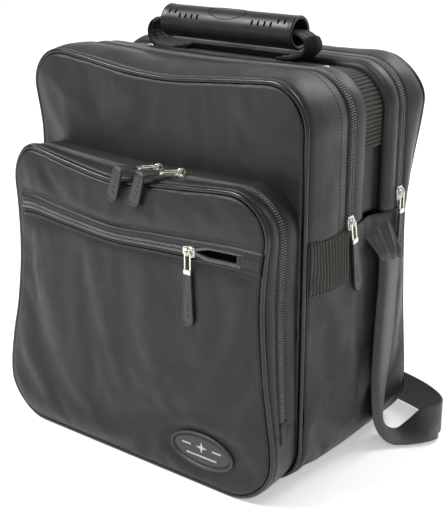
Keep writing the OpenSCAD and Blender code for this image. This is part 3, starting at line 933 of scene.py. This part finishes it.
strip_a = strip("rear_gusset_front_cloth", UPPER,
                [(RIDGE_Y - dy, out) for dy, out in reversed(WALL_IN)] +
                ramped(RIDGE_Y + 1, REAR_ZIP_Y - LIP, 2.2, 7), body_warp, "nylon",
                wrinkle=0.8, seed=11.0, body="shell")
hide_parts("rear_gusset_front")
strip_b = strip("rear_gusset_back_cloth", UPPER,
                ramped(REAR_ZIP_Y + LIP, BACK_Y - SEAM_GAP, 3.0, 10) +
                seam_allowance(BACK_Y - SEAM_GAP, 1), body_warp, "nylon",
                wrinkle=1.6, seed=12.0)
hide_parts("rear_gusset_back")
rear_rim(strip_b)
zip_half("rear_zip_front", UPPER, REAR_ZIP_Y, -1, body_warp, on_shell, ("rear_zip_front",))
zip_half("rear_zip_back", UPPER, REAR_ZIP_Y, 1, body_warp, rear_rim, ("rear_zip_back",))
seam("rear_lip_stitches", UPPER, REAR_ZIP_Y + LIP + 3.5, body_warp, strip_b, rear_rim)
rear = panel("rear_panel_cloth", HALF, TOP, BACK_Y, 1, body_warp, 4.0, 2.2, seed=14.0,
             extra=folds((-120, 320, 20, 280, 14, 2.4), (90, 330, -30, 240, 12, -2.2),
                         (-130, 60, -40, 110, 12, 2.2), (130, 90, 60, 180, 12, 2.0)))
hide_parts("rear_panel_lower", "rear_panel_upper")
rear_flap(rear)
cord = piping("rear_piping_cord", HALF, TOP, BACK_Y - PIPING_R, body_warp)
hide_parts("rear_piping_lower", "rear_piping_upper")
rear_flap(cord)

# ---- Front pocket ----

POCKET = outline(PHALF, PTOP)
POCKET_UPPER = cut(POCKET, POCKET_FOLD)
piece = strip("pocket_bottom_cloth", cut(POCKET, -1, POCKET_FOLD),
              ramped(POCKET_Y + SEAM_GAP, FRONT_Y, 2.0, 10), pocket_warp, "nylon",
              wrinkle=1.0, seed=21.0, body="shell")
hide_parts("pocket_bottom_gusset")
piece = strip("pocket_gusset_rear_cloth", POCKET_UPPER,
              ramped(POCKET_ZIP_Y + LIP, FRONT_Y, 2.2, 7), pocket_warp, "nylon",
              wrinkle=0.8, seed=22.0, body="shell")
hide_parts("pocket_gusset_rear")
pocket_strip = strip("pocket_gusset_front_cloth", POCKET_UPPER,
                     seam_allowance(POCKET_Y + SEAM_GAP, -1)[::-1] +
                     ramped(POCKET_Y + SEAM_GAP, POCKET_ZIP_Y - LIP, 1.6, 6), pocket_warp,
                     "nylon", wrinkle=0.5, seed=23.0)
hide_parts("pocket_gusset_front")
pocket_rim(pocket_strip)
zip_half("pocket_zip_front", POCKET_UPPER, POCKET_ZIP_Y, -1, pocket_warp, pocket_rim,
         ("pocket_zip_front",))
zip_half("pocket_zip_rear", POCKET_UPPER, POCKET_ZIP_Y, 1, pocket_warp, on_shell,
         ("pocket_zip_rear",))

BADGE_LOW, BADGE_HIGH = span("badge_plate")
BADGE = (BADGE_LOW + BADGE_HIGH) / 2
BADGE_RX = (BADGE_HIGH.x - BADGE_LOW.x) / 2
BADGE_RZ = (BADGE_HIGH.z - BADGE_LOW.z) / 2


def pocket_padding(x, z):
    """How much padding is left near the sewn-in zip and under the badge."""
    along = ease(x, [(SLIP_START - 8, 0), (SLIP_START, 1), (SLIP_RIGHT + 20, 1),
                     (SLIP_RIGHT + 30, 0)])
    near_zip = along * ease(abs(z - SLIP_Z), [(9, 1), (20, 0)])
    off = math.hypot((x - BADGE.x) / (BADGE_RX + 2), (z - BADGE.z) / (BADGE_RZ + 2))
    return 1 - max(near_zip, ease(off, [(1.0, 1), (1.4, 0)]))


pocket = panel("pocket_panel_cloth", PHALF, PTOP, POCKET_Y, -1, pocket_warp, 2.6, 1.2,
               seed=25.0, flat=pocket_padding, spare=0.004,
               hole=(SLIP_START + 5, SLIP_RIGHT - 5, SLIP_Z - 5.5, SLIP_Z + 1.2),
               extra=folds((-112, 268, -68, 232, 7, -2.2), (-128, 205, -114, 125, 4, 1.8),
                           (-130, 230, -122, 150, 6, -1.5), (-30, 268, 30, 256, 14, -1.6),
                           (60, 262, 112, 244, 12, 1.8), (95, 95, 148, 132, 6, 1.5),
                           (-140, 100, -124, 55, 9, 1.6), (-60, 205, -40, 120, 16, -1.1),
                           (20, 200, 40, 90, 18, 1.0), (110, 200, 120, 110, 12, -1.4)))
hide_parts("pocket_panel_lower", "pocket_panel_upper")
pocket_flap(pocket)
cord = piping("pocket_piping_cord", PHALF, PTOP, POCKET_Y + PIPING_R, pocket_warp)
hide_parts("pocket_piping_lower", "pocket_piping_upper")
pocket_flap(cord)

# ---- Sewn-in zip of the pocket ----

def line_path(x_from, x_to, step=3.0):
    """A straight path along X, from right to left, facing out."""
    count = round((x_from - x_to) / step)
    return [(x_from + (x_to - x_from) * i / count, 0, 0, 1) for i in range(count + 1)]


def slip_warp(p):
    """From (x, height across the zip, distance out) to the pocket's front."""
    x, y, z = p
    return pocket_warp((x, POCKET_Y - z, SLIP_Z + y))


def slip_parted(side):
    """The same, with one half of the zip moved off its line right of the slider."""
    slider = span("slip_slider")[1].x - 2
    return lambda p: slip_warp((p[0], p[1] + side * ease(p[0], [(slider, 0),
                                (slider + 18, 3.2)]), p[2]))


SLIP_PATH = line_path(SLIP_RIGHT + 4, SLIP_START)
SLIP_LIPS = {
    1: [(3.9, 0.3), (4.3, 1.7), (5.6, 2.4), (7.4, 2.1), (9.2, 0.9), (10.4, -0.6)],
    -1: [(-10.6, -0.6), (-9.6, 0.9), (-8.2, 1.7), (-7.0, 1.5), (-6.3, 0.3)],
}
for side, label in ((1, "upper"), (-1, "lower")):
    zip_half("slip_zip_" + label, SLIP_PATH, 0, side, slip_parted(side), pocket_flap,
             ("slip_zip_tapes", "slip_zip_coil"))
    lip = strip("slip_lip_" + label, line_path(SLIP_RIGHT + 23, SLIP_START),
                SLIP_LIPS[side], slip_warp, "nylon",
                thick=0.7, wrinkle=0.25, seed=31.0)
    pocket_flap(lip)
    row = stitches("slip_stitches_" + label,
                   [slip_warp((x, side * 12.6, 3)) for x, _, _, _ in SLIP_PATH], pocket)
    pocket_flap(row)
tab = strip("slip_zip_end_cloth", line_path(SLIP_RIGHT + 22, SLIP_RIGHT - 1, 2.0),
            [(-7, -0.2), (-6.7, 1.6), (-3, 2.3), (3, 2.4), (6.7, 1.7), (7, -0.2)], slip_warp,
            "nylon", thick=0.8, wrinkle=0.3, seed=33.0)
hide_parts("slip_zip_tab")
pocket_flap(tab)
for label, points in (
        ("across", [(SLIP_RIGHT + 2, y, 4) for y in (5, 0, -5)]),
        ("upper", [(SLIP_RIGHT + 2 + x, 5, 4) for x in (0, 7, 13, 19)]),
        ("lower", [(SLIP_RIGHT + 2 + x, -5, 4) for x in (0, 7, 13, 19)])):
    row = stitches("slip_end_stitches_" + label, [slip_warp(p) for p in points], tab,
                   pitch=2.8)
    pocket_flap(row)

# ---- Zip ends and side seams ----

for side, label in ((1, "right"), (-1, "left")):
    heights = [POCKET_FOLD + side * h for h in (-11, -8, -4, 0, 3, 6, 7)]
    tab = strip("pocket_zip_end_" + label, [(side * PHALF, z, side, 0) for z in heights],
                [(POCKET_ZIP_Y + y, out) for y, out in
                 ((-7, 0.6), (-6.6, 2.7), (-3, 3.2), (3, 3.2), (6.6, 2.8), (7, 0.6))],
                pocket_warp, "nylon", thick=0.9, wrinkle=0.3, seed=35.0, body="shell")
    row = stitches("pocket_zip_end_stitches_" + label,
                   [pocket_warp((side * (PHALF + 5), POCKET_ZIP_Y + y, POCKET_FOLD + 4))
                    for y in (-5.5, 0, 5.5)], tab, body="shell", pitch=2.6)
seam("pocket_lip_stitches", POCKET_UPPER, POCKET_ZIP_Y - LIP - 3.2, pocket_warp, pocket_strip,
     pocket_rim)

# ---- Ribbed bands on the sides ----

cloth = surface(gusset)
low, high = span("side_bands")
BAND_COLUMNS = 14
PER_RIB = 6
for side, label in ((1, "right"), (-1, "left")):
    rows, cols = 18, BAND_COLUMNS * PER_RIB + 1
    verts, uvs = [], []
    for r in range(rows):
        for c in range(cols):
            y = low.y + (high.y - low.y) * (c if side > 0 else cols - 1 - c) / (cols - 1)
            z = low.z + (high.z - low.z) * r / (rows - 1)
            hit = cloth.ray_cast(Vector((side * (HALF + 40), y, z)), Vector((-side, 0, 0)))[0]
            base = abs(hit.x) if hit is not None else HALF
            rib = 0.5 - 0.5 * math.cos(2 * math.pi * c / PER_RIB)
            edge = min(1, 3 * min(r, rows - 1 - r) / rows + 0.5)
            verts.append((side * (base + (1.1 + 1.0 * rib) * edge), y, z))
            uvs.append((c / PER_RIB * 3.7 * MM, z * MM))
    faces = grid_faces(rows, cols)
    verts, faces = thicken(verts, faces, 1.2)
    band = make_piece("side_band_" + label, verts, faces, "ribbed_webbing", "shell",
                      uvs + uvs)
    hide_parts("side_bands")
    for z in (low.z + 1.5, high.z - 1.5):
        stitches(f"side_band_stitches_{label}_{round(z)}",
                 [(side * (HALF + 8), low.y + 1 + (high.y - low.y - 2) * i / 8, z)
                  for i in range(9)], band, "shell", pitch=3.0)


# ---- Solid pieces ----

def solid(name, parts, mat, body, bevel=0.0):
    """Closed hard parts joined in one piece, with outward faces and rounded edges."""
    verts, faces = [], []
    for part_verts, part_faces in parts:
        faces += [tuple(len(verts) + i for i in f) for f in part_faces]
        verts += part_verts
    piece = make_piece(name, verts, faces, mat)
    shape = bmesh.new()
    shape.from_mesh(piece.data)
    bmesh.ops.recalc_face_normals(shape, faces=shape.faces)
    if bevel:
        edges = [e for e in shape.edges if len(e.link_faces) == 2
                 and e.calc_face_angle() > 0.6]
        bmesh.ops.bevel(shape, geom=edges, offset=bevel * MM, segments=2, profile=0.6,
                        affect="EDGES", clamp_overlap=True)
    shape.to_mesh(piece.data)
    shape.free()
    piece.data.set_sharp_from_angle(angle=math.radians(40))
    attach(piece, body)
    return piece


def prism(points, low, high, place):
    """An outline of (across, up) points, pulled out from low to high."""
    n = len(points)
    verts = [place(a, out, u) for out in (low, high) for a, u in points]
    faces = [tuple(range(n)), tuple(range(n, 2 * n))]
    faces += [(i, (i + 1) % n, n + (i + 1) % n, n + i) for i in range(n)]
    return verts, faces


# ---- Badge, with a plain mark ----

def badge_at(a, out, u):
    return Vector((BADGE.x + a, POCKET_Y - out, BADGE.z + u))


BADGE_RINGS = ((0, 0), (0, 1.6), (0.4, 2.3), (1.2, 2.7), (2.2, 2.6), (2.6, 2.2), (2.8, 0.7),
               (3.5, 0.7), (3.8, 1.3), (6, 1.45), (11, 1.6))
SIDES = 72
verts = [badge_at((BADGE_RX - inset) * math.cos(2 * math.pi * i / SIDES), out,
                  (BADGE_RZ - inset) * math.sin(2 * math.pi * i / SIDES))
         for inset, out in BADGE_RINGS for i in range(SIDES)]
faces = [(k * SIDES + i, k * SIDES + (i + 1) % SIDES, (k + 1) * SIDES + (i + 1) % SIDES,
          (k + 1) * SIDES + i) for k in range(len(BADGE_RINGS) - 1) for i in range(SIDES)]
faces.append(tuple((len(BADGE_RINGS) - 1) * SIDES + i for i in range(SIDES)))
faces.append(tuple(reversed(range(SIDES))))
plate = make_piece("badge", verts, faces, "badge_rubber", "shell")
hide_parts("badge_plate")
STAR = [((6.5 if i % 2 == 0 else 1.9) * math.sin(math.pi * i / 4),
         3.2 + (5.6 if i % 2 == 0 else 1.7) * math.cos(math.pi * i / 4)) for i in range(8)]
BARS = [[(a - w, u), (a + w, u), (a + w, u + 1.5), (a - w, u + 1.5)]
        for a, w, u in ((0, 17, -6.2), (-17, 5, 2.4), (17, 5, 2.4))]
solid("badge_mark", [prism(shape, 1.0, 1.85, badge_at) for shape in [STAR, *BARS]],
      "badge_mark", "shell", bevel=0.2)

# ---- Zip sliders and their pulls ----

PIVOT_OUT = 3.8
BOW_U = 1.0
BOW_R = 3.2
LINK_LENGTH = 19
TAB_END = LINK_LENGTH + 47
SHIELD = ((-4, 6.5), (4, 6.5), (5, 3), (4.2, -4), (3, -6.5), (-3, -6.5), (-4.2, -4), (-5, 3))


class Pull:
    """Places (across, along, out) from a pull's pivot. Past its bend, the pull turns to
    lie along a second direction."""

    def __init__(self, at, down, out, second=None, bend=(30, 38)):
        self.places = []
        first = self.turn(down, out)
        last = first if second is None else self.turn(*second)
        for s in range(TAB_END + 3):
            self.places.append((at.copy(), first.slerp(last, ease(s, [(bend[0], 0),
                                                               (bend[1], 1)]))))
            at = at + self.places[-1][1] @ Vector((0, 1, 0))

    @staticmethod
    def turn(down, out):
        return Matrix((down.cross(out), down, out)).transposed().to_quaternion()

    def __call__(self, across, along, out):
        i = max(0, min(int(along), len(self.places) - 2))
        at, turn = self.places[i]
        after = self.places[i + 1][1]
        turn = turn.slerp(after, max(0.0, min(1.0, along - i)))
        return at + turn @ Vector((across, along - i, out))

    def out(self, along):
        return self.places[min(int(along), len(self.places) - 1)][1] @ Vector((0, 0, 1))


TAB_SHAPE = ((LINK_LENGTH - 2.5, 3.2, 0.7), (LINK_LENGTH - 2.2, 3.7, 1.0),
             (LINK_LENGTH + 4, 4.2, 1.3), (TAB_END - 7, 5.8, 1.3), (TAB_END - 4.5, 5.9, 1.3),
             (TAB_END - 1.2, 3.6, 1.3), (TAB_END - 0.3, 3.0, 1.2), (TAB_END, 2.6, 0.8))


def rubber_tab(name, place, body):
    """A flared rubber tab with a raised rim and cut corners."""
    knots = sorted({*range(LINK_LENGTH, TAB_END, 2), *(s for s, _, _ in TAB_SHAPE)})
    verts = []
    for s in knots:
        k = max(i for i in range(len(TAB_SHAPE) - 1) if TAB_SHAPE[i][0] <= s)
        (s0, w0, t0), (s1, w1, t1) = TAB_SHAPE[k], TAB_SHAPE[k + 1]
        f = (s - s0) / (s1 - s0)
        w, t = w0 + (w1 - w0) * f, t0 + (t1 - t0) * f
        sunk = 0.35 if LINK_LENGTH + 4 <= s <= TAB_END - 3 else 0
        half = [(w, t - 0.4), (w - 0.4, t), (w - 1.1, t), (w - 1.5, t - sunk)]
        ring = half + [(-a, n) for a, n in reversed(half)]
        ring += [(-w, 0.4 - t), (0.4 - w, -t), (w - 0.4, -t), (w, 0.4 - t)]
        verts += [place(a, s, n) for a, n in ring]
    n, rows = 12, len(knots)
    faces = [(r * n + c, r * n + (c + 1) % n, (r + 1) * n + (c + 1) % n, (r + 1) * n + c)
             for r in range(rows - 1) for c in range(n)]
    faces += [tuple(range(n)), tuple((rows - 1) * n + c for c in range(n))]
    return solid(name, [(verts, faces)], "pull_rubber", body)


def zip_pull(label, slider, up, out, down, second=None):
    """A slider, its wire link and its rubber tab, built round the pull's pivot."""
    at = pivot(label + "_pull_swing")
    across = up.cross(out)
    origin = at - out * PIVOT_OUT - up * BOW_U

    def on_slider(a, o, u):
        return origin + across * a + out * o + up * u

    parts = [prism(SHIELD, -0.6, 1.2, on_slider),
             prism([(a * 0.78, u * 0.8) for a, u in SHIELD], 0.9, 2.4, on_slider)]
    piece = solid(slider + "_body", parts, "slider_metal", slider, bevel=0.5)
    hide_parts(slider)
    middle = at - out * (PIVOT_OUT - 2.6)
    arch = [middle - down * (BOW_R * math.cos(a)) + out * (BOW_R * math.sin(a))
            for a in (math.radians(step * 12 - 24) for step in range(20))]
    tube(slider + "_bow", arch, 0.85, "slider_metal", body=slider, ups=out.cross(down))
    place = Pull(at, down, out, second)
    body = label + "_pull"
    w, r, low = 2.9, 1.4, LINK_LENGTH - 2
    loop = [(cx + r * math.cos(a), cs + r * math.sin(a))
            for cx, cs, start in ((w - r, low - r, 0), (r - w, low - r, 90), (r - w, r - 0.6, 180),
                                  (w - r, r - 0.6, 270))
            for a in (math.radians(start + 22.5 * k) for k in range(5))]
    wire = tube(body + "_wire", [place(a, s, 0) for a, s in loop], 0.8, "slider_metal", True,
                body=body, ups=place.out(0))
    clamp = [(-3.7, low - 2), (3.7, low - 2), (3.9, low + 2.4), (-3.9, low + 2.4)]
    solid(body + "_clamp", [prism(clamp, -1.2, 1.2, lambda a, o, s: place(a, s, o))],
          "slider_metal", body, bevel=0.4)
    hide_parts(label + "_pull_link")
    rubber = rubber_tab(body + "_rubber", place, body)
    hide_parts(label + "_pull_tab")
    marks = []
    for s in range(LINK_LENGTH + 23, LINK_LENGTH + 40, 5):
        marks.append(prism([(-1.7, s), (0, s + 1.6), (1.7, s), (0, s - 1.6)], 0.8, 1.32,
                           lambda a, o, u: place(a, u, o)))
    solid(body + "_pattern", marks, "pull_rubber", body, bevel=0.15)


X, Y, Z = Vector((1, 0, 0)), Vector((0, 1, 0)), Vector((0, 0, 1))
LEAN = math.radians(10.7)
zip_pull("main", "main_slider", Z, X, Vector((0, math.sin(LEAN), -math.cos(LEAN))))
zip_pull("rear", "rear_slider", Z, X, -Z)
zip_pull("slip", "slip_slider", X, -Y, -Z)
TURN = math.radians(41)
TILT = math.radians(18)
for label, way in (("left", -1), ("right", 1)):
    zip_pull("pocket_" + label, "pocket_slider_" + label, X * way, Z,
             Vector((-math.sin(TURN), -math.cos(TURN), 0)),
             (Vector((-math.sin(TILT), 0, -math.cos(TILT))), -Y))

# ---- Grip of the carry handle ----

low, high = span("handle_grip")
GRIP = (low + high) / 2
GRIP_R = (high.z - low.z) / 2 - 0.3
SLOT_HALF = math.degrees(2.25 / GRIP_R)
GRIP_SLOTS = [(GRIP.x + side * (32 + 7 * step), 62 if step < 4 else 48)
         for side in (-1, 1) for step in range(6)]


def grip_point(x, r, turn):
    a = math.radians(turn)
    return Vector((x, GRIP.y - r * math.sin(a), GRIP.z + r * math.cos(a)))


end_shape = [(12, 5), (12, 11.4), (1, 11.8), (0.2, 12.4), (0, 13.2), (0, GRIP_R - 0.6),
             (0.4, GRIP_R + 0.1), (1.4, GRIP_R + 0.5), (2.6, GRIP_R + 0.3), (4, GRIP_R)]
along = sorted({low.x + 6 + (high.x - low.x - 12) * i / 40 for i in range(41)} |
               {x + d for x, _ in GRIP_SLOTS for d in (-1.12, -0.88, 0.88, 1.12)}, reverse=True)
stations = [(high.x - d, r) for d, r in end_shape] + [(x, GRIP_R) for x in along]
stations += [(low.x + d, r) for d, r in reversed(end_shape)]
turns = sorted({i * 5.0 for i in range(72)} |
               {turn + s * (SLOT_HALF + d) for turn in (48, 62) for s in (-1, 1)
                for d in (-0.6, 0.6)})
verts = []
for turn in turns:
    for x, r in stations:
        in_slot = any(abs(x - s) < 1 and abs(turn - t) < SLOT_HALF for s, t in GRIP_SLOTS)
        seam_line = 0.35 * bell(turn, 205, 3) + 0.35 * bell(turn, 335, 3)
        verts.append(grip_point(x, r - (2.4 if in_slot else 0) -
                                (seam_line if r == GRIP_R else 0), turn))
count, cols = len(turns), len(stations)
faces = grid_faces(count, cols, closed=True)
faces.append(tuple(r * cols for r in range(count)))
faces.append(tuple(r * cols + cols - 1 for r in reversed(range(count))))
piece = make_piece("grip", verts, faces, "grip_rubber", "carry_handle")
piece.data.set_sharp_from_angle(angle=math.radians(50))
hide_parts("handle_grip")
ring = [(GRIP.x - 1.5 + 21.3 * math.cos(a), 25 + math.degrees(9.3 * math.sin(a) / GRIP_R))
        for a in (2 * math.pi * i / 60 for i in range(60))]
tube("grip_oval", [grip_point(x, GRIP_R, turn) for x, turn in ring], 0.4, "zip_tape",
     True, sides=8, body="carry_handle",
     ups=[grip_point(x, 1, turn) - grip_point(x, 0, turn) for x, turn in ring])


# ---- Webbing of the carry handle and the shoulder strap ----

def smooth_rows(points, step):
    """Catmull-Rom samples of equal-length number lists, spaced by their first three."""
    points = [points[0], *points, points[-1]]
    rows = []
    for i in range(1, len(points) - 2):
        a, b, c, d = points[i - 1:i + 3]
        count = max(1, round(math.dist(b[:3], c[:3]) / step))
        for n in range(count):
            t = n / count
            rows.append([0.5 * (2 * q + (r - p) * t + (2 * p - 5 * q + 4 * r - s) * t * t +
                                (3 * q - p - 3 * r + s) * t ** 3)
                         for p, q, r, s in zip(a, b, c, d)])
    rows.append(list(points[-1]))
    return rows


def ribbon(name, centres, acrosses, section, mat, thick, body=None):
    """A band along its centre line. section(row) lists (across, out) over its width."""
    along = lengths(centres)
    verts, uvs = [], []
    cols = len(section(0))
    last = len(centres) - 1
    for i, centre in enumerate(centres):
        ahead = (centres[min(i + 1, last)] - centres[max(i - 1, 0)]).normalized()
        across = acrosses[i] - ahead * acrosses[i].dot(ahead)
        across.normalize()
        out = ahead.cross(across)
        shape = section(i)
        widths = lengths(shape)
        for k, (a, b) in enumerate(shape):
            verts.append(centre + across * a + out * b)
            uvs.append((along[i] * MM, widths[k] * MM))
    faces = grid_faces(last + 1, cols)
    verts, faces = thicken(above_floor(verts), faces, thick)
    return make_piece(name, verts, faces, mat, body, uvs + uvs)


FOLD = ((63, 39, 384, 10), (73, 39, 385, 10), (82, 39, 384, 10.5), (89, 39, 379, 11.5),
        (91, 39, 372, 12.5), (87, 39, 365, 14), (77, 38.5, 361.6, 16.5),
        (63, 38.5, 360.6, 17.5))
for side, label in ((1, "right"), (-1, "left")):
    rows = smooth_rows([(GRIP.x + side * x, y, z, half) for x, y, z, half in FOLD], 1.5)

    def fold_section(i):
        half = rows[i][3]
        return [(-side * half * v, 0.4 - 1.6 * v * v * (1 - i / len(rows)) + 0.5 * math.cos(9 * v))
                for v in (k / 6 - 1 for k in range(13))]

    band = ribbon("handle_webbing_" + label, [Vector(row[:3]) for row in rows],
                  [Y * side] * len(rows), fold_section, "ribbed_webbing", 2.2)
    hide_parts("handle_strap")
    start = 2 * len(rows) // 5
    low_rows = rows[start:]

    def cover_section(i):
        half = low_rows[i][3] + 0.7
        return [(-side * half * v, 3.4 - 3.4 * v * v + 0.4 * math.cos(5 * v))
                for v in (k / 6 - 1 for k in range(13))]

    cover = ribbon("handle_end_cover_" + label, [Vector(row[:3]) for row in low_rows],
                   [Y * side] * len(low_rows), cover_section, "zip_tape", 3.0)
    for piece in (band, cover):
        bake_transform(piece)

for side, label in ((1, "right"), (-1, "left")):
    low, high = span("handle_rivets")
    middle = Vector((high.x - 2.6 if side > 0 else low.x + 2.6, (low.y + high.y) / 2, low.z))
    rings = ((3.6, -1), (3.6, 1.2), (3.0, 2.0), (1.8, 2.5), (0.7, 2.7))
    verts = [middle + Vector((r * math.cos(math.pi * i / 12), r * math.sin(math.pi * i / 12), z))
             for r, z in rings for i in range(24)]
    faces = [(k * 24 + i, k * 24 + (i + 1) % 24, (k + 1) * 24 + (i + 1) % 24, (k + 1) * 24 + i)
             for k in range(len(rings) - 1) for i in range(24)]
    faces += [tuple(reversed(range(24))), tuple(96 + i for i in range(24))]
    rivet = make_piece("handle_rivet_" + label, verts, faces, "slider_metal", "shell")
    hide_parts("handle_rivets")

STRAP_WIDTH = 32
STRAP_SIDE = (
    (166, 60, 198, 0, 1, 0, 1), (169.5, 60, 190, 0, 1, 0, 1), (171, 60, 178, 0, 1, 0, 1),
    (171, 59, 150, 0, 1, 0, 1), (170, 58, 110, 0, 1, 0, 1), (169, 57, 70, -0.1, 1, 0, 1),
    (169, 57, 40, -0.3, 1, 0, 0.9), (169, 59, 20, -0.5, 0.9, 0, 0.5),
    (173, 63, 7, -0.6, 0.8, 0, 0.1), (181, 71, 3, -0.6, 0.8, 0, 0),
    (190, 80, 7, -0.6, 0.7, 0.3, 0), (200, 90, 14, -0.4, 0.4, 0.7, 0),
    (205, 101, 17, 0, 0, 1, 0), (203, 112, 17, 0, 0, 1, 0), (194, 122, 17, 0, 0, 1, 0),
    (178, 132, 17, 0, 0, 1, 0), (158, 140, 17, 0, 0, 1, 0), (130, 147, 17, 0, 0, 1, 0),
    (90, 152, 17, 0, 0, 1, 0), (40, 155, 17, 0, 0, 1, 0))
route = list(STRAP_SIDE) + [(-p[0], p[1], p[2], -p[3], *p[4:]) for p in reversed(STRAP_SIDE)]
rows = smooth_rows(route, 3.0)


def strap_section(i):
    """Points over the strap's width, folded over towards the front by the row's last value."""
    folded = max(0, min(1, rows[i][6]))
    half = STRAP_WIDTH / 2
    a = b = 0.0
    shape = [(0.0, 0.0)]
    steps = 36
    for k in range(steps):
        s = -half + STRAP_WIDTH * (k + 0.5) / steps
        angle = math.radians(folded * ease(s, [(-10, 84), (-6.5, 8), (half, -8)]))
        a += STRAP_WIDTH / steps * math.cos(angle)
        b += STRAP_WIDTH / steps * math.sin(angle)
        shape.append((a, b))
    middle = (shape[0][0] + shape[-1][0]) / 2
    top = max(q for _, q in shape)
    return [(p - middle, q - top + 0.9) for p, q in reversed(shape)]


strap = ribbon("shoulder_strap_band", [Vector(row[:3]) for row in rows],
               [Vector(row[3:6]) for row in rows], strap_section, "strap_webbing", 1.8, "strap")
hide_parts("shoulder_strap")

# ---- Leather-look ends that hold the strap ----

ANCHOR_TOP = ((34, 213), (46, 221), (60, 226), (74, 225), (86, 221))
for side, label in ((1, "right"), (-1, "left")):
    verts, uvs = [], []
    rows_down, cols = 22, 41
    for r in range(rows_down):
        v = r / (rows_down - 1)
        for c in range(cols):
            u = (c if side > 0 else cols - 1 - c) / (cols - 1)
            top_y = 34 + 52 * u
            top_z = ease(top_y, ANCHOR_TOP)
            y = top_y + (46 + 28 * u - top_y) * v
            z = top_z + (186 - top_z) * v
            free = ease(y, [(67, 1), (73, 0.12)])
            out = 1.2 + 13.2 * ease(v, [(0.05, 0), (0.9, 1)]) * free
            out += 1.3 * math.cos(2 * math.pi * 3.5 * (u + 0.12 * v)) * ease(v, [(0, 0),
                                                                        (0.35, 1)]) * free
            verts.append(body_warp((side * (HALF + out), y, z)))
            uvs.append((u * 0.05, v * 0.04))
    faces = grid_faces(rows_down, cols)
    faces = [tuple(reversed(f)) for f in faces]
    verts, faces = thicken(verts, faces, 1.3)
    piece = make_piece("strap_anchor_" + label, verts, faces, "strap_leather", "shell",
                       uvs + uvs)
    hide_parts("strap_anchors")
(lengths([row[:3] for row in smooth_rows(route, 3.0)])[-1]
                      * MM)

# ---- Materials of the CAD nodes that stay ----

for entry in frame["record"]["subparts"]:
    node = frame["nodes"][entry["node"]]
    node.data.materials.clear()
    node.data.materials.append(M[entry["material_slot"]])
